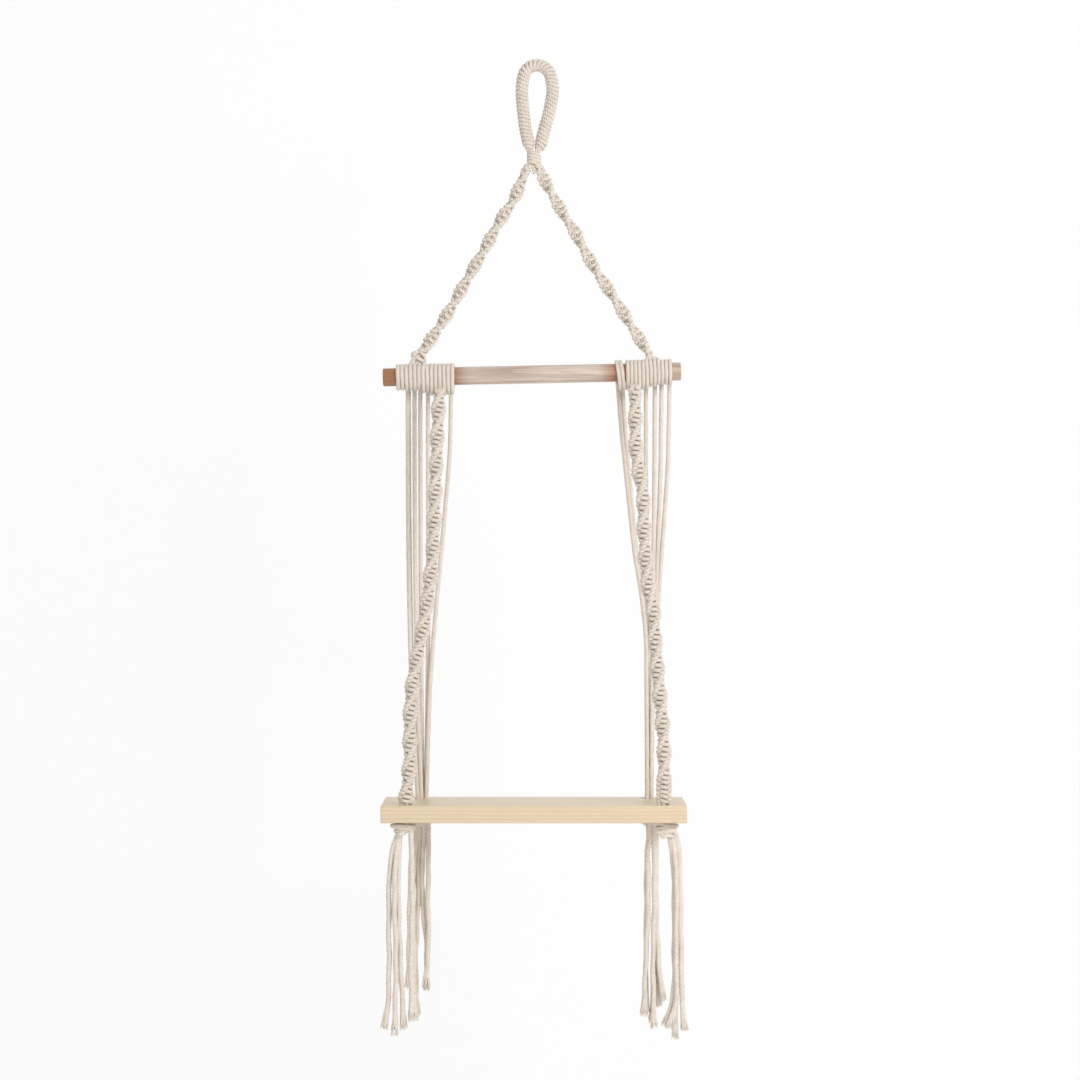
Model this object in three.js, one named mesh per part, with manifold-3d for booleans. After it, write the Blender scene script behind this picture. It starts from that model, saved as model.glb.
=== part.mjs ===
// Hanging rope shelf: a wrapped loop, two knotted arms, a round rail held in cord hitches, two knotted
// legs with plain cords behind them, a pine board, and stopper knots with loose cord ends below it.
// Millimetres, +Z up, -Y towards the viewer. The origin is where the hook bears inside the loop.
import * as THREE from "three";
import { mergeVertices } from "three/addons/utils/BufferGeometryUtils.js";
import Module from "manifold-3d";

const wasm = await Module();
wasm.setup();

// Clearances
const clearance = 0.3;
const pivot_gap = 0.95;
const overrun = 30;

// Cord
const cord_diameter = 4;
const cord_sides = 8;
const cord_pitch = cord_diameter + clearance;

// Hanging loop: a bundle of cords closely covered by one wrapping cord
const loop_diameter = 12;
const loop_end_diameter = 9;
const loop_core_diameter = 6.4;
const loop_wrap_pitch = 3.7;
const loop_rib_depth = 0.75;
const loop_crown_side = 2.6;
const loop_left_reach = 11.2;
const loop_right_reach = 18.8;
const loop_shoulder_drop = 21;
const loop_waist_drop = 58;
const loop_end_drop = 75.5;
const loop_end_run = 9;
const loop_points = 8;
const ribs_per_core_ring = 2;
const loop_shoulder_share = 0.3;
const loop_shoulder_rise_share = 0.2;
const loop_left_waist_share = 0.71;
const loop_right_waist_share = 0.63;
const loop_taper_share = 0.09;

// Gathering wrap under the loop
const neck_diameter = 13.4;
const neck_cord_diameter = 3.2;
const neck_wrap_pitch = 3.7;
const neck_wrap_turns = 3;
const neck_roll_radius = 4.4;
const neck_roll_length = 18.8;
const neck_base_depth = 9;
const neck_wrap_rise_share = 1 / 3;

// Arms: twisted half-knot cords from the neck to the rail
const knot_width = 13.2;
const knot_depth = 8.6;
const knot_points = 8;
const knot_rings_per_half_turn = 4;
const knot_scallop_share = 0.07;
const arm_half_turn = 28.6;
const arm_top_side = 7;
const arm_hidden_run = 4.7;

// Rail
const rail_diameter = 18;
const rail_length = 296.5;
const rail_ease = 1.2;
const rail_drop = 301.3;
const rail_centre_side = -2;
const rail_tilt_deg = 1.15;
const rail_segments = 32;

// Hitches on the rail: each is one cord wound round it twice
const hitches_per_side = 7;
const hitch_steps_per_turn = 16;
const hitch_sides = 6;
const hitch_start_turns = 0.9;
const hitch_end_turns = 0.8;

// Board
const board_length = 300;
const board_depth = 120;
const board_thickness = 17;
const board_top_drop = 726;
const board_corner = 1.5;
const board_ease = 0.8;
const front_hole_radius = 5.3;
const back_hole_radius = 6.5;
const front_hole_end_inset = 24;
const back_hole_end_inset = 36;
const hole_edge_inset = 15;
const hole_segments = 16;
const corner_segments = 2;

// Stopper knots and loose ends
const knot_ball_radius = 5.4;
const left_front_knot_length = 24;
const right_front_knot_length = 29;
const back_knot_length = 25;
const strand_steps = 4;
const plain_steps = 6;

// Legs
const leg_half_turn_left = 26.4;
const leg_half_turn_right = 28;
const leg_tab_width = 8;
const leg_tab_depth = 4.2;
const leg_tab_rise = 7;
const leg_tab_run = 3;
const plain_rise = 1;

// Sideways course of each knotted leg: share of the way down, share of the way across
const left_leg_course_shares = [
  [0, 0], [0.13, 0.066], [0.277, 0.139], [0.407, 0.203], [0.517, 0.364], [0.59, 0.516],
  [0.666, 0.718], [0.743, 0.842], [0.8, 0.88], [0.855, 0.877], [0.912, 0.899], [0.97, 0.975], [1, 1],
];
const right_leg_course_shares = [
  [0, 0], [0.09, -0.03], [0.153, 0], [0.208, 0.18], [0.273, 0.34], [0.355, 0.364], [0.43, 0.44],
  [0.502, 0.544], [0.535, 0.685], [0.593, 0.739], [0.67, 0.82], [0.746, 0.894], [0.82, 0.979],
  [0.897, 1.03], [0.973, 1.025], [1, 1],
];
// Plain cords draw together into two rows soon after they leave the rail
const plain_down_shares = [0, 0.07, 0.14, 0.26, 0.5, 0.72, 1];
const plain_row_shares = [0, 0.38, 0.7, 1.05, 1.05, 1.02, 1];
const left_plain_across_shares = [0, 0.03, 0.07, 0.14, 0.38, 0.66, 1];
const right_plain_across_shares = [0, 0.08, 0.17, 0.34, 0.62, 0.84, 1];
// Loose ends fan out quickly, then hang
const fan_down_shares = [0, 0.25, 0.5, 0.75, 1];
const fan_across_shares = [0, 0.34, 0.63, 0.85, 1];

// Each plain cord: its place along the rail, counted in turns from the outer end of the hitches, and
// its column and row in the board's back hole
const left_plain_cords = [
  { turns: 1.2771, column: -1, row: -1 },
  { turns: 2.4096, column: -1, row: 1 },
  { turns: 3.7349, column: 0, row: -1 },
  { turns: 5.5422, column: 0, row: 1 },
  { turns: 7.1084, column: 1, row: 1 },
  { turns: 12.4096, column: 1, row: -1 },
];
const right_plain_cords = [
  { turns: 14.2932, column: -1, row: -1 },
  { turns: 13.1152, column: -1, row: 1 },
  { turns: 7.0681, column: 0, row: -1 },
  { turns: 4.9738, column: 0, row: 1 },
  { turns: 3.2984, column: 1, row: 1 },
  { turns: 1.2042, column: 1, row: -1 },
];

// Lower end of each loose strand, from the middle of its knot
const left_front_feet = [[-23.7, -1, -197.3], [-10.4, -5, -203.3], [-1.1, 1, -198.3], [6.3, -2, -191.3]];
const left_back_feet = [
  [-12.1, -2, -172.9], [-4.5, -3, -202.2], [8.1, -3, -168.9],
  [-8, 7, -189.3], [0, 8, -197.3], [8, 7, -181.3],
];
const right_front_feet = [[-5, -1, -189.3], [2.2, -5, -194.6], [12.6, -1, -208.3], [23.4, -3, -196.5]];
const right_back_feet = [
  [-3.2, -3, -198.1], [5, -4, -210.2], [16.6, -3, -184],
  [-4, 7, -196.1], [4, 8, -187.3], [12, 7, -201.3],
];

// What differs from the left of the rail to the right
const left = {
  name: "left",
  sign: -1,
  wrap_diameter: 3.7,
  wrap_gap: 0.45,
  wrap_inset: 13.35,
  inner_hitch_gap: 0,
  arm_foot_turns: 4.4578,
  leg_top_turns: 10,
  leg_half_turn: leg_half_turn_left,
  leg_course_shares: left_leg_course_shares,
  plain_across_shares: left_plain_across_shares,
  plain_cords: left_plain_cords,
  front_knot_length: left_front_knot_length,
  front_feet: left_front_feet,
  back_feet: left_back_feet,
};
const right = {
  name: "right",
  sign: 1,
  wrap_diameter: 3.4,
  wrap_gap: 0.42,
  wrap_inset: 9.25,
  inner_hitch_gap: 1.7,
  arm_foot_turns: 4.8691,
  leg_top_turns: 10.5236,
  leg_half_turn: leg_half_turn_right,
  leg_course_shares: right_leg_course_shares,
  plain_across_shares: right_plain_across_shares,
  plain_cords: right_plain_cords,
  front_knot_length: right_front_knot_length,
  front_feet: right_front_feet,
  back_feet: right_back_feet,
};
const sides = [left, right];

// Places worked out from the sizes above
const rail_radius = rail_diameter / 2;
const rail_tilt = THREE.MathUtils.degToRad(rail_tilt_deg);
const largest_wrap_diameter = Math.max(left.wrap_diameter, right.wrap_diameter);
const wrap_outer_radius = rail_radius + clearance + largest_wrap_diameter;
const seat_radius = wrap_outer_radius + clearance;
const neck_wrap_radius = (neck_diameter - neck_cord_diameter) / 2;
const neck_shaft_radius = neck_wrap_radius - neck_cord_diameter / 2 - clearance;
const neck_swing_z = -loop_end_drop - clearance - neck_roll_radius;
const neck_wrap_top = neck_swing_z + neck_roll_radius * neck_wrap_rise_share;
const neck_wrap_length = neck_wrap_turns * neck_wrap_pitch + neck_cord_diameter;
const neck_wrap_bottom = neck_wrap_top - neck_wrap_length;
const arm_sway_z = neck_wrap_bottom + neck_cord_diameter;
const neck_base_radius = Math.hypot(neck_wrap_radius, neck_cord_diameter / 2) + neck_cord_diameter / 2;
const arm_seat_radius = neck_base_radius + clearance;
const board_top = -board_top_drop;
const board_bottom = board_top - board_thickness;
const leg_foot = board_top + pivot_gap;
const hole_row = board_depth / 2 - hole_edge_inset;
const front_hole_side = board_length / 2 - front_hole_end_inset;
const back_hole_side = board_length / 2 - back_hole_end_inset;
const knot_z = board_bottom - clearance - knot_ball_radius;

const cotton = new THREE.MeshStandardMaterial({ color: 0xeae0d2, roughness: 0.95, metalness: 0 });
const stained_wood = new THREE.MeshStandardMaterial({ color: 0xb5805c, roughness: 0.6, metalness: 0 });
const pine = new THREE.MeshStandardMaterial({ color: 0xe6cfa6, roughness: 0.65, metalness: 0 });

// Height of the tilted rail's axis at a place along X
function rail_z(x) {
  return -rail_drop + (x - rail_centre_side) * Math.tan(rail_tilt);
}

// Length of rail that one turn of a side's hitches takes
function wrap_pitch(side) {
  return side.wrap_diameter + side.wrap_gap;
}

// Distance from the rail's middle to a place counted in turns from the outer end of the hitches
function wrap_side(side, turns) {
  return rail_length / 2 - side.wrap_inset - turns * wrap_pitch(side);
}

// A closed solid turned right side out
function outward(geometry) {
  const p = geometry.attributes.position;
  const index = geometry.index.array;
  const corners = [new THREE.Vector3(), new THREE.Vector3(), new THREE.Vector3()];
  let volume = 0;
  for (let i = 0; i < index.length; i += corners.length) {
    corners.forEach((corner, k) => corner.fromBufferAttribute(p, index[i + k]));
    volume += corners[0].dot(corners[1].cross(corners[2]));
  }
  if (volume < 0) index.reverse();
  return geometry;
}

// Joins rings of equal count into one skin; a looped skin closes on itself, any other is capped
function skin(rings, looped = false) {
  const count = rings[0].length;
  const points = rings.flat();
  const faces = [];
  const spans = looped ? rings.length : rings.length - 1;
  for (let r = 0; r < spans; r++) {
    const here = r * count;
    const next = ((r + 1) % rings.length) * count;
    for (let k = 0; k < count; k++) {
      const m = (k + 1) % count;
      faces.push(here + k, here + m, next + m, here + k, next + m, next + k);
    }
  }
  if (!looped) {
    const last = (rings.length - 1) * count;
    for (let k = 1; k < count - 1; k++) {
      faces.push(0, k + 1, k);
      faces.push(last, last + k, last + k + 1);
    }
  }
  const geometry = new THREE.BufferGeometry().setFromPoints(points);
  geometry.setIndex(faces);
  return outward(geometry);
}

// A ring of points round a centre, in the plane of two unit directions
function ring(centre, across, up, half_across, half_up, count, turn = 0) {
  const points = [];
  for (let k = 0; k < count; k++) {
    const angle = (2 * Math.PI * k) / count;
    const a = half_across * Math.cos(angle);
    const b = half_up * Math.sin(angle);
    const u = a * Math.cos(turn) - b * Math.sin(turn);
    const v = a * Math.sin(turn) + b * Math.cos(turn);
    points.push(centre.clone().addScaledVector(across, u).addScaledVector(up, v));
  }
  return points;
}

// Two directions square to a tangent, the second as near +Y as it can be
function square_to(tangent) {
  const across = new THREE.Vector3().crossVectors(tangent, new THREE.Vector3(0, 1, 0)).normalize();
  const up = new THREE.Vector3().crossVectors(across, tangent).normalize();
  return [across, up];
}

// Manifold solid of a closed geometry, and back
function solid(geometry) {
  const bare = geometry.clone();
  bare.deleteAttribute("normal");
  bare.deleteAttribute("uv");
  const merged = mergeVertices(bare, 1e-4);
  return new wasm.Manifold(
    new wasm.Mesh({
      numProp: 3,
      vertProperties: new Float32Array(merged.attributes.position.array),
      triVerts: new Uint32Array(merged.index.array),
    }),
  );
}

function geometry_of(manifold) {
  const mesh = manifold.getMesh();
  const points = [];
  for (let i = 0; i < mesh.vertProperties.length; i += mesh.numProp) {
    points.push(new THREE.Vector3().fromArray(mesh.vertProperties, i));
  }
  const geometry = new THREE.BufferGeometry().setFromPoints(points);
  geometry.setIndex(Array.from(mesh.triVerts));
  return geometry;
}

function box_between(low, high) {
  const size = new THREE.Vector3().subVectors(high, low);
  const middle = new THREE.Vector3().addVectors(low, high).multiplyScalar(1 / 2);
  return solid(new THREE.BoxGeometry(size.x, size.y, size.z).translate(middle.x, middle.y, middle.z));
}

// Round bar along X, Y or Z through a point
function bar(axis, radius, length, centre, segments) {
  const geometry = new THREE.CylinderGeometry(radius, radius, length, segments);
  if (axis === "x") geometry.rotateZ(-Math.PI / 2);
  if (axis === "z") geometry.rotateX(Math.PI / 2);
  return geometry.translate(centre.x, centre.y, centre.z);
}

function named(name, geometry, material) {
  const mesh = new THREE.Mesh(geometry, material);
  mesh.name = name;
  return mesh;
}

// Least clear distance of a wound tube to itself, measured between points half a turn or more apart
function least_self_gap(points, diameter, apart) {
  let least = Infinity;
  points.forEach((p, i) => {
    for (let k = i + apart; k < points.length; k++) least = Math.min(least, p.distanceTo(points[k]));
  });
  return least - diameter;
}

// Hanging loop
const crown = new THREE.Vector3(loop_crown_side, 0, loop_diameter / 2);
const loop_end_side = loop_end_diameter / 2 + clearance;

function loop_half(sign, reach, waist_share) {
  const shoulder_x = loop_crown_side + sign * (reach - sign * loop_crown_side) * (1 - loop_shoulder_share);
  return [
    new THREE.Vector3(shoulder_x, 0, crown.z - loop_shoulder_drop * loop_shoulder_rise_share),
    new THREE.Vector3(sign * reach, 0, crown.z - loop_shoulder_drop),
    new THREE.Vector3(sign * reach * waist_share, 0, -loop_waist_drop),
    new THREE.Vector3(sign * loop_end_side, 0, -loop_end_drop + loop_end_run),
    new THREE.Vector3(sign * loop_end_side, 0, -loop_end_drop),
  ];
}

const loop_path = new THREE.CatmullRomCurve3(
  [
    ...loop_half(-1, loop_left_reach, loop_left_waist_share).reverse(),
    crown,
    ...loop_half(1, loop_right_reach, loop_right_waist_share),
  ],
  false,
  "centripetal",
);
const loop_ribs = 2 * Math.round(loop_path.getLength() / loop_wrap_pitch / 2);

// Radius of the wrapping along the loop, drawn in towards both ends
function loop_radius(share) {
  const from_end = Math.min(share, 1 - share) / loop_taper_share;
  const ease = THREE.MathUtils.smoothstep(from_end, 0, 1);
  return THREE.MathUtils.lerp(loop_end_diameter, loop_diameter, ease) / 2;
}

function loop_ring(share, radius) {
  const [across, up] = square_to(loop_path.getTangentAt(share));
  return ring(loop_path.getPointAt(share), across, up, radius, radius, loop_points);
}

function loop_wrapping() {
  const outside = [];
  const bore = [];
  for (let i = 0; i <= 2 * loop_ribs; i++) {
    const share = i / (2 * loop_ribs);
    const dip = i % 2 === 0 ? loop_rib_depth : 0;
    outside.push(loop_ring(share, loop_radius(share) - dip));
  }
  for (let i = loop_ribs; i >= 0; i -= ribs_per_core_ring) {
    bore.push(loop_ring(i / loop_ribs, loop_core_diameter / 2 + clearance));
  }
  return named("loop_wrapping", skin([...outside, ...bore], true), cotton);
}

function loop_core() {
  const rings = [];
  for (let i = 0; i <= loop_ribs; i += ribs_per_core_ring) {
    rings.push(loop_ring(i / loop_ribs, loop_core_diameter / 2));
  }
  return named("loop_core", skin(rings), cotton);
}

// Neck: the bundle drawn together, with its gathering wrap
function neck_core() {
  const pivot = new THREE.Vector3(0, 0, neck_swing_z);
  const roll = solid(bar("x", neck_roll_radius, neck_roll_length, pivot, rail_segments));
  const below_roll = box_between(
    new THREE.Vector3(-overrun, -overrun, neck_swing_z - overrun),
    new THREE.Vector3(overrun, overrun, neck_wrap_top + clearance),
  );
  const base_centre = new THREE.Vector3(0, 0, arm_sway_z);
  const base = solid(bar("y", neck_base_radius, neck_base_depth, base_centre, rail_segments));
  const above_base = box_between(
    new THREE.Vector3(-overrun, -overrun, neck_wrap_bottom - clearance),
    new THREE.Vector3(overrun, overrun, neck_wrap_bottom + overrun),
  );
  const shaft_length = neck_wrap_length + neck_cord_diameter;
  const shaft_centre = new THREE.Vector3(0, 0, (neck_wrap_top + neck_wrap_bottom) / 2);
  const shaft = solid(bar("z", neck_shaft_radius, shaft_length, shaft_centre, loop_points));
  const body = shaft.add(roll.subtract(below_roll)).add(base.subtract(above_base));
  return named("neck_core", geometry_of(body), cotton);
}

// A tube wound round an axis, given as points round +X, with a straight run at each end
function wound_tube(points, radius, count) {
  const start_way = new THREE.Vector3().subVectors(points[0], points[1]).normalize();
  const last = points.length - 1;
  const end_way = new THREE.Vector3().subVectors(points[last], points[last - 1]).normalize();
  const route = [
    points[0].clone().addScaledVector(start_way, 2 * radius),
    ...points,
    points[last].clone().addScaledVector(end_way, 2 * radius),
  ];
  const rings = route.map((centre, i) => {
    const before = route[Math.max(i - 1, 0)];
    const after = route[Math.min(i + 1, route.length - 1)];
    const tangent = new THREE.Vector3().subVectors(after, before).normalize();
    const across = new THREE.Vector3(1, 0, 0).addScaledVector(tangent, -tangent.x).normalize();
    const up = new THREE.Vector3().crossVectors(tangent, across);
    return ring(centre, across, up, radius, radius, count);
  });
  return skin(rings);
}

// Points of a helix round +X: turn zero is at +Y, and rising turns pass over the top to the front
function helix(radius, pitch, from_turn, to_turn) {
  const steps = Math.round((to_turn - from_turn) * hitch_steps_per_turn);
  const points = [];
  for (let i = 0; i <= steps; i++) {
    const turn = from_turn + ((to_turn - from_turn) * i) / steps;
    const angle = 2 * Math.PI * turn;
    points.push(new THREE.Vector3(turn * pitch, radius * Math.cos(angle), radius * Math.sin(angle)));
  }
  return points;
}

function neck_wrapping() {
  const half = neck_wrap_turns / 2;
  const points = helix(neck_wrap_radius, neck_wrap_pitch, -half, half);
  const gap = least_self_gap(points, neck_cord_diameter, hitch_steps_per_turn / 2);
  console.log("neck_wrapping least gap to itself " + gap.toFixed(2) + " mm");
  const geometry = wound_tube(points, neck_cord_diameter / 2, hitch_sides);
  geometry.rotateY(Math.PI / 2);
  geometry.translate(0, 0, (neck_wrap_top + neck_wrap_bottom) / 2);
  return named("neck_wrapping", geometry, cotton);
}

// A knotted cord that turns as it goes; size(share) scales its section along the way
function knotted_cord(path, half_turn, size) {
  const half_turns = Math.round(path.getLength() / half_turn);
  const steps = half_turns * knot_rings_per_half_turn;
  const rings = [];
  for (let i = 0; i <= steps; i++) {
    const share = i / steps;
    const [across, up] = square_to(path.getTangentAt(share));
    const turn = (-Math.PI * i) / knot_rings_per_half_turn;
    const scallop = 1 + knot_scallop_share * (i % 2 === 0 ? 1 : -1);
    const { width, depth } = size(share);
    const centre = path.getPointAt(share);
    rings.push(ring(centre, across, up, (scallop * width) / 2, depth / 2, knot_points, turn));
  }
  return skin(rings);
}

// Arms
const rail_cutter = solid(
  bar("x", seat_radius, rail_length, new THREE.Vector3(), rail_segments)
    .rotateY(-rail_tilt)
    .translate(rail_centre_side, 0, -rail_drop),
);

function arm(side) {
  const foot_x = side.sign * wrap_side(side, side.arm_foot_turns);
  const foot = new THREE.Vector3(foot_x, 0, rail_z(foot_x) + rail_radius);
  const top = new THREE.Vector3(side.sign * arm_top_side, 0, neck_wrap_bottom);
  const upwards = new THREE.Vector3().subVectors(top, foot).normalize();
  const start = top.clone().addScaledVector(upwards, arm_hidden_run);
  const path = new THREE.LineCurve3(start, foot);
  const full = () => ({ width: knot_width, depth: knot_depth });
  const near_x = (side.sign * clearance) / 2;
  const far_x = -side.sign * overrun;
  const other_half = box_between(
    new THREE.Vector3(Math.min(near_x, far_x), -overrun, start.z - overrun),
    new THREE.Vector3(Math.max(near_x, far_x), overrun, start.z + overrun),
  );
  const neck_cutter = solid(
    bar("y", arm_seat_radius, 2 * overrun, new THREE.Vector3(0, 0, arm_sway_z), rail_segments),
  );
  const above = box_between(
    new THREE.Vector3(-overrun, -overrun, arm_sway_z),
    new THREE.Vector3(overrun, overrun, arm_sway_z + overrun),
  );
  const body = solid(knotted_cord(path, arm_half_turn, full))
    .subtract(other_half)
    .subtract(neck_cutter)
    .subtract(above)
    .subtract(rail_cutter);
  return named("arm_" + side.name, geometry_of(body), cotton);
}

// Rail and its hitches, laid along X and tilted together
function rail() {
  const end = rail_length / 2;
  const profile = [
    new THREE.Vector2(0, -end),
    new THREE.Vector2(rail_radius - rail_ease, -end),
    new THREE.Vector2(rail_radius, -end + rail_ease),
    new THREE.Vector2(rail_radius, end - rail_ease),
    new THREE.Vector2(rail_radius - rail_ease, end),
    new THREE.Vector2(0, end),
  ];
  const geometry = new THREE.LatheGeometry(profile, rail_segments).rotateZ(-Math.PI / 2);
  return named("rail", geometry, stained_wood);
}

// Hitch 1 is the outermost; the innermost stands a little apart where its side has a gap there
function hitch(side, number) {
  const radius = rail_radius + clearance + side.wrap_diameter / 2;
  const points = helix(radius, wrap_pitch(side), -hitch_start_turns, hitch_end_turns);
  const apart = number === hitches_per_side ? side.inner_hitch_gap : 0;
  const middle_turns = 1 / 2 + 2 * (number - 1);
  const middle = wrap_side(side, middle_turns) - side.wrap_diameter / 2 - apart;
  if (number === 1) {
    const gap = least_self_gap(points, side.wrap_diameter, hitch_steps_per_turn / 2);
    console.log("hitch_" + side.name + " least gap to itself " + gap.toFixed(2) + " mm");
  }
  const geometry = wound_tube(points, side.wrap_diameter / 2, hitch_sides);
  geometry.translate(side.sign * middle, 0, 0);
  return named("hitch_" + side.name + "_" + number, geometry, cotton);
}

// Outline of a round, with as many corners as segments
function round_outline(x, y, radius, segments) {
  const points = [];
  for (let k = 0; k < segments; k++) {
    const angle = (2 * Math.PI * k) / segments;
    points.push(new THREE.Vector2(x + radius * Math.cos(angle), y + radius * Math.sin(angle)));
  }
  return new THREE.Shape(points);
}

// Tube of plain cord along points
function plain_tube(points, steps) {
  const path = new THREE.CatmullRomCurve3(points, false, "centripetal");
  const section = round_outline(0, 0, cord_diameter / 2, cord_sides);
  return new THREE.ExtrudeGeometry(section, { steps, extrudePath: path, bevelEnabled: false });
}

// Everything below the feet of the legs, to trim them level
const below_legs = box_between(
  new THREE.Vector3(-board_length, -board_depth, leg_foot - overrun),
  new THREE.Vector3(board_length, board_depth, leg_foot),
);

// Plain cord from behind the rail down to the board's back hole
function plain_cord(side, cord, number) {
  const top_x = side.sign * wrap_side(side, cord.turns);
  const top = new THREE.Vector3(top_x, seat_radius + cord_diameter / 2, rail_z(top_x) + plain_rise);
  const hole_x = side.sign * back_hole_side + cord.column * cord_pitch;
  const row_step = (cord.row * (cord_pitch + clearance)) / 2;
  const foot_z = leg_foot - cord_diameter;
  const points = plain_down_shares.map((down, i) => {
    const across = side.plain_across_shares[i];
    const x = THREE.MathUtils.lerp(top.x, hole_x, across);
    const y = THREE.MathUtils.lerp(top.y, hole_row, down) + row_step * plain_row_shares[i];
    return new THREE.Vector3(x, y, THREE.MathUtils.lerp(top.z, foot_z, down));
  });
  const body = solid(plain_tube(points, plain_steps)).subtract(below_legs);
  return named("plain_cord_" + side.name + "_" + number, geometry_of(body), cotton);
}

// Knotted leg from the front of the rail down to the board's front hole
function knotted_leg(side) {
  const top_x = side.sign * wrap_side(side, side.leg_top_turns);
  const top_y = -seat_radius - leg_tab_depth / 2;
  const top_z = rail_z(top_x) - leg_tab_rise;
  const foot = new THREE.Vector3(side.sign * front_hole_side, -hole_row, leg_foot - cord_diameter);
  const points = side.leg_course_shares.map(([down, across]) => {
    return new THREE.Vector3(
      THREE.MathUtils.lerp(top_x, foot.x, across),
      THREE.MathUtils.lerp(top_y, foot.y, down),
      THREE.MathUtils.lerp(top_z, foot.z, down),
    );
  });
  const path = new THREE.CatmullRomCurve3(points, false, "centripetal");
  const length = path.getLength();
  const tab_share = (seat_radius - leg_tab_rise + leg_tab_run) / length;
  const taper_share = knot_width / length;
  const size = (share) => {
    const in_knots = THREE.MathUtils.smoothstep(share, tab_share, 2 * tab_share);
    const at_foot = THREE.MathUtils.smoothstep(share, 1 - 2 * taper_share, 1 - taper_share);
    const width = THREE.MathUtils.lerp(leg_tab_width, knot_width, in_knots);
    const depth = THREE.MathUtils.lerp(leg_tab_depth, knot_depth, in_knots);
    return {
      width: THREE.MathUtils.lerp(width, 2 * front_hole_radius, at_foot),
      depth: THREE.MathUtils.lerp(depth, 2 * front_hole_radius, at_foot),
    };
  };
  const body = solid(knotted_cord(path, side.leg_half_turn, size)).subtract(below_legs);
  return named("knotted_leg_" + side.name, geometry_of(body), cotton);
}

// Board with a hole in each corner region for the cords
function board() {
  const x = board_length / 2;
  const y = board_depth / 2;
  const c = board_corner;
  const shape = new THREE.Shape();
  shape.moveTo(-x + c, -y);
  shape.lineTo(x - c, -y);
  shape.absarc(x - c, -y + c, c, -Math.PI / 2, 0);
  shape.lineTo(x, y - c);
  shape.absarc(x - c, y - c, c, 0, Math.PI / 2);
  shape.lineTo(-x + c, y);
  shape.absarc(-x + c, y - c, c, Math.PI / 2, Math.PI);
  shape.lineTo(-x, -y + c);
  shape.absarc(-x + c, -y + c, c, Math.PI, (3 * Math.PI) / 2);
  for (const side of sides) {
    shape.holes.push(
      round_outline(side.sign * front_hole_side, -hole_row, front_hole_radius, hole_segments),
      round_outline(side.sign * back_hole_side, hole_row, back_hole_radius, hole_segments),
    );
  }
  const geometry = new THREE.ExtrudeGeometry(shape, {
    depth: board_thickness - 2 * board_ease,
    bevelThickness: board_ease,
    bevelSize: board_ease,
    bevelOffset: -board_ease,
    bevelSegments: 1,
    curveSegments: corner_segments,
  });
  return named("board", geometry.translate(0, 0, board_bottom + board_ease), pine);
}

// Stopper knot under the board, with the cords' bundle that fills its hole
function stopper_knot(name, x, y, length, hole_radius) {
  const profile = [];
  for (let k = 0; k <= knot_points; k++) {
    const angle = (Math.PI * k) / knot_points - Math.PI / 2;
    const r = k === 0 || k === knot_points ? 0 : knot_ball_radius * Math.cos(angle);
    profile.push(new THREE.Vector2(r, (length / 2) * Math.sin(angle)));
  }
  const ball = new THREE.LatheGeometry(profile, hole_segments).rotateZ(-Math.PI / 2);
  ball.translate(x, y, knot_z);
  const bundle_length = board_top - knot_z;
  const bundle_centre = new THREE.Vector3(x, y, (board_top + knot_z) / 2);
  const bundle = solid(bar("z", hole_radius - clearance, bundle_length, bundle_centre, hole_segments));
  return named(name, geometry_of(solid(ball).add(bundle)), cotton);
}

// Loose strand that starts just under its knot and hangs to its own foot
function strand(name, knot, offset_x, offset_y, foot) {
  const inner = Math.max(Math.abs(offset_x) - cord_diameter / 2, 0);
  const knot_radius = knot_ball_radius * Math.sqrt(1 - (2 * inner / knot.length) ** 2);
  const top = new THREE.Vector3(knot.x + offset_x, knot.y + offset_y, knot_z - knot_radius - clearance);
  const straight = top.clone().add(new THREE.Vector3(0, 0, -cord_diameter));
  const end = new THREE.Vector3(knot.x, knot.y, knot_z).add(new THREE.Vector3().fromArray(foot));
  const points = fan_down_shares.map((down, i) => {
    const across = fan_across_shares[i];
    return new THREE.Vector3(
      THREE.MathUtils.lerp(straight.x, end.x, across),
      THREE.MathUtils.lerp(straight.y, end.y, across),
      THREE.MathUtils.lerp(straight.z, end.z, down),
    );
  });
  return named(name, plain_tube([top, ...points], strand_steps), cotton);
}

function tassel(side, place) {
  const front = place === "front";
  const knot = {
    x: side.sign * (front ? front_hole_side : back_hole_side),
    y: front ? -hole_row : hole_row,
    length: front ? side.front_knot_length : back_knot_length,
  };
  const name = place + "_" + side.name;
  const hole_radius = front ? front_hole_radius : back_hole_radius;
  const pieces = [stopper_knot("stopper_knot_" + name, knot.x, knot.y, knot.length, hole_radius)];
  const feet = front ? side.front_feet : side.back_feet;
  const columns = front ? feet.length : feet.length / 2;
  feet.forEach((foot, i) => {
    const column = (i % columns) - (columns - 1) / 2;
    const row = front ? 0 : Math.floor(i / columns) - 1 / 2;
    const offset_y = row * (cord_pitch + clearance);
    pieces.push(strand("strand_" + name + "_" + (i + 1), knot, column * cord_pitch, offset_y, foot));
  });
  return pieces;
}

const shelf = new THREE.Group();
shelf.add(loop_core(), loop_wrapping(), neck_core(), neck_wrapping());

const rail_group = new THREE.Group();
rail_group.position.set(rail_centre_side, 0, -rail_drop);
rail_group.rotation.y = -rail_tilt;
rail_group.add(rail());
shelf.add(rail_group, board());

for (const side of sides) {
  shelf.add(arm(side), knotted_leg(side));
  for (let number = 1; number <= hitches_per_side; number++) rail_group.add(hitch(side, number));
  side.plain_cords.forEach((cord, i) => shelf.add(plain_cord(side, cord, i + 1)));
  shelf.add(...tassel(side, "front"), ...tassel(side, "back"));
}

export default shelf;
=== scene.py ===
import math
import random

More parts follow.
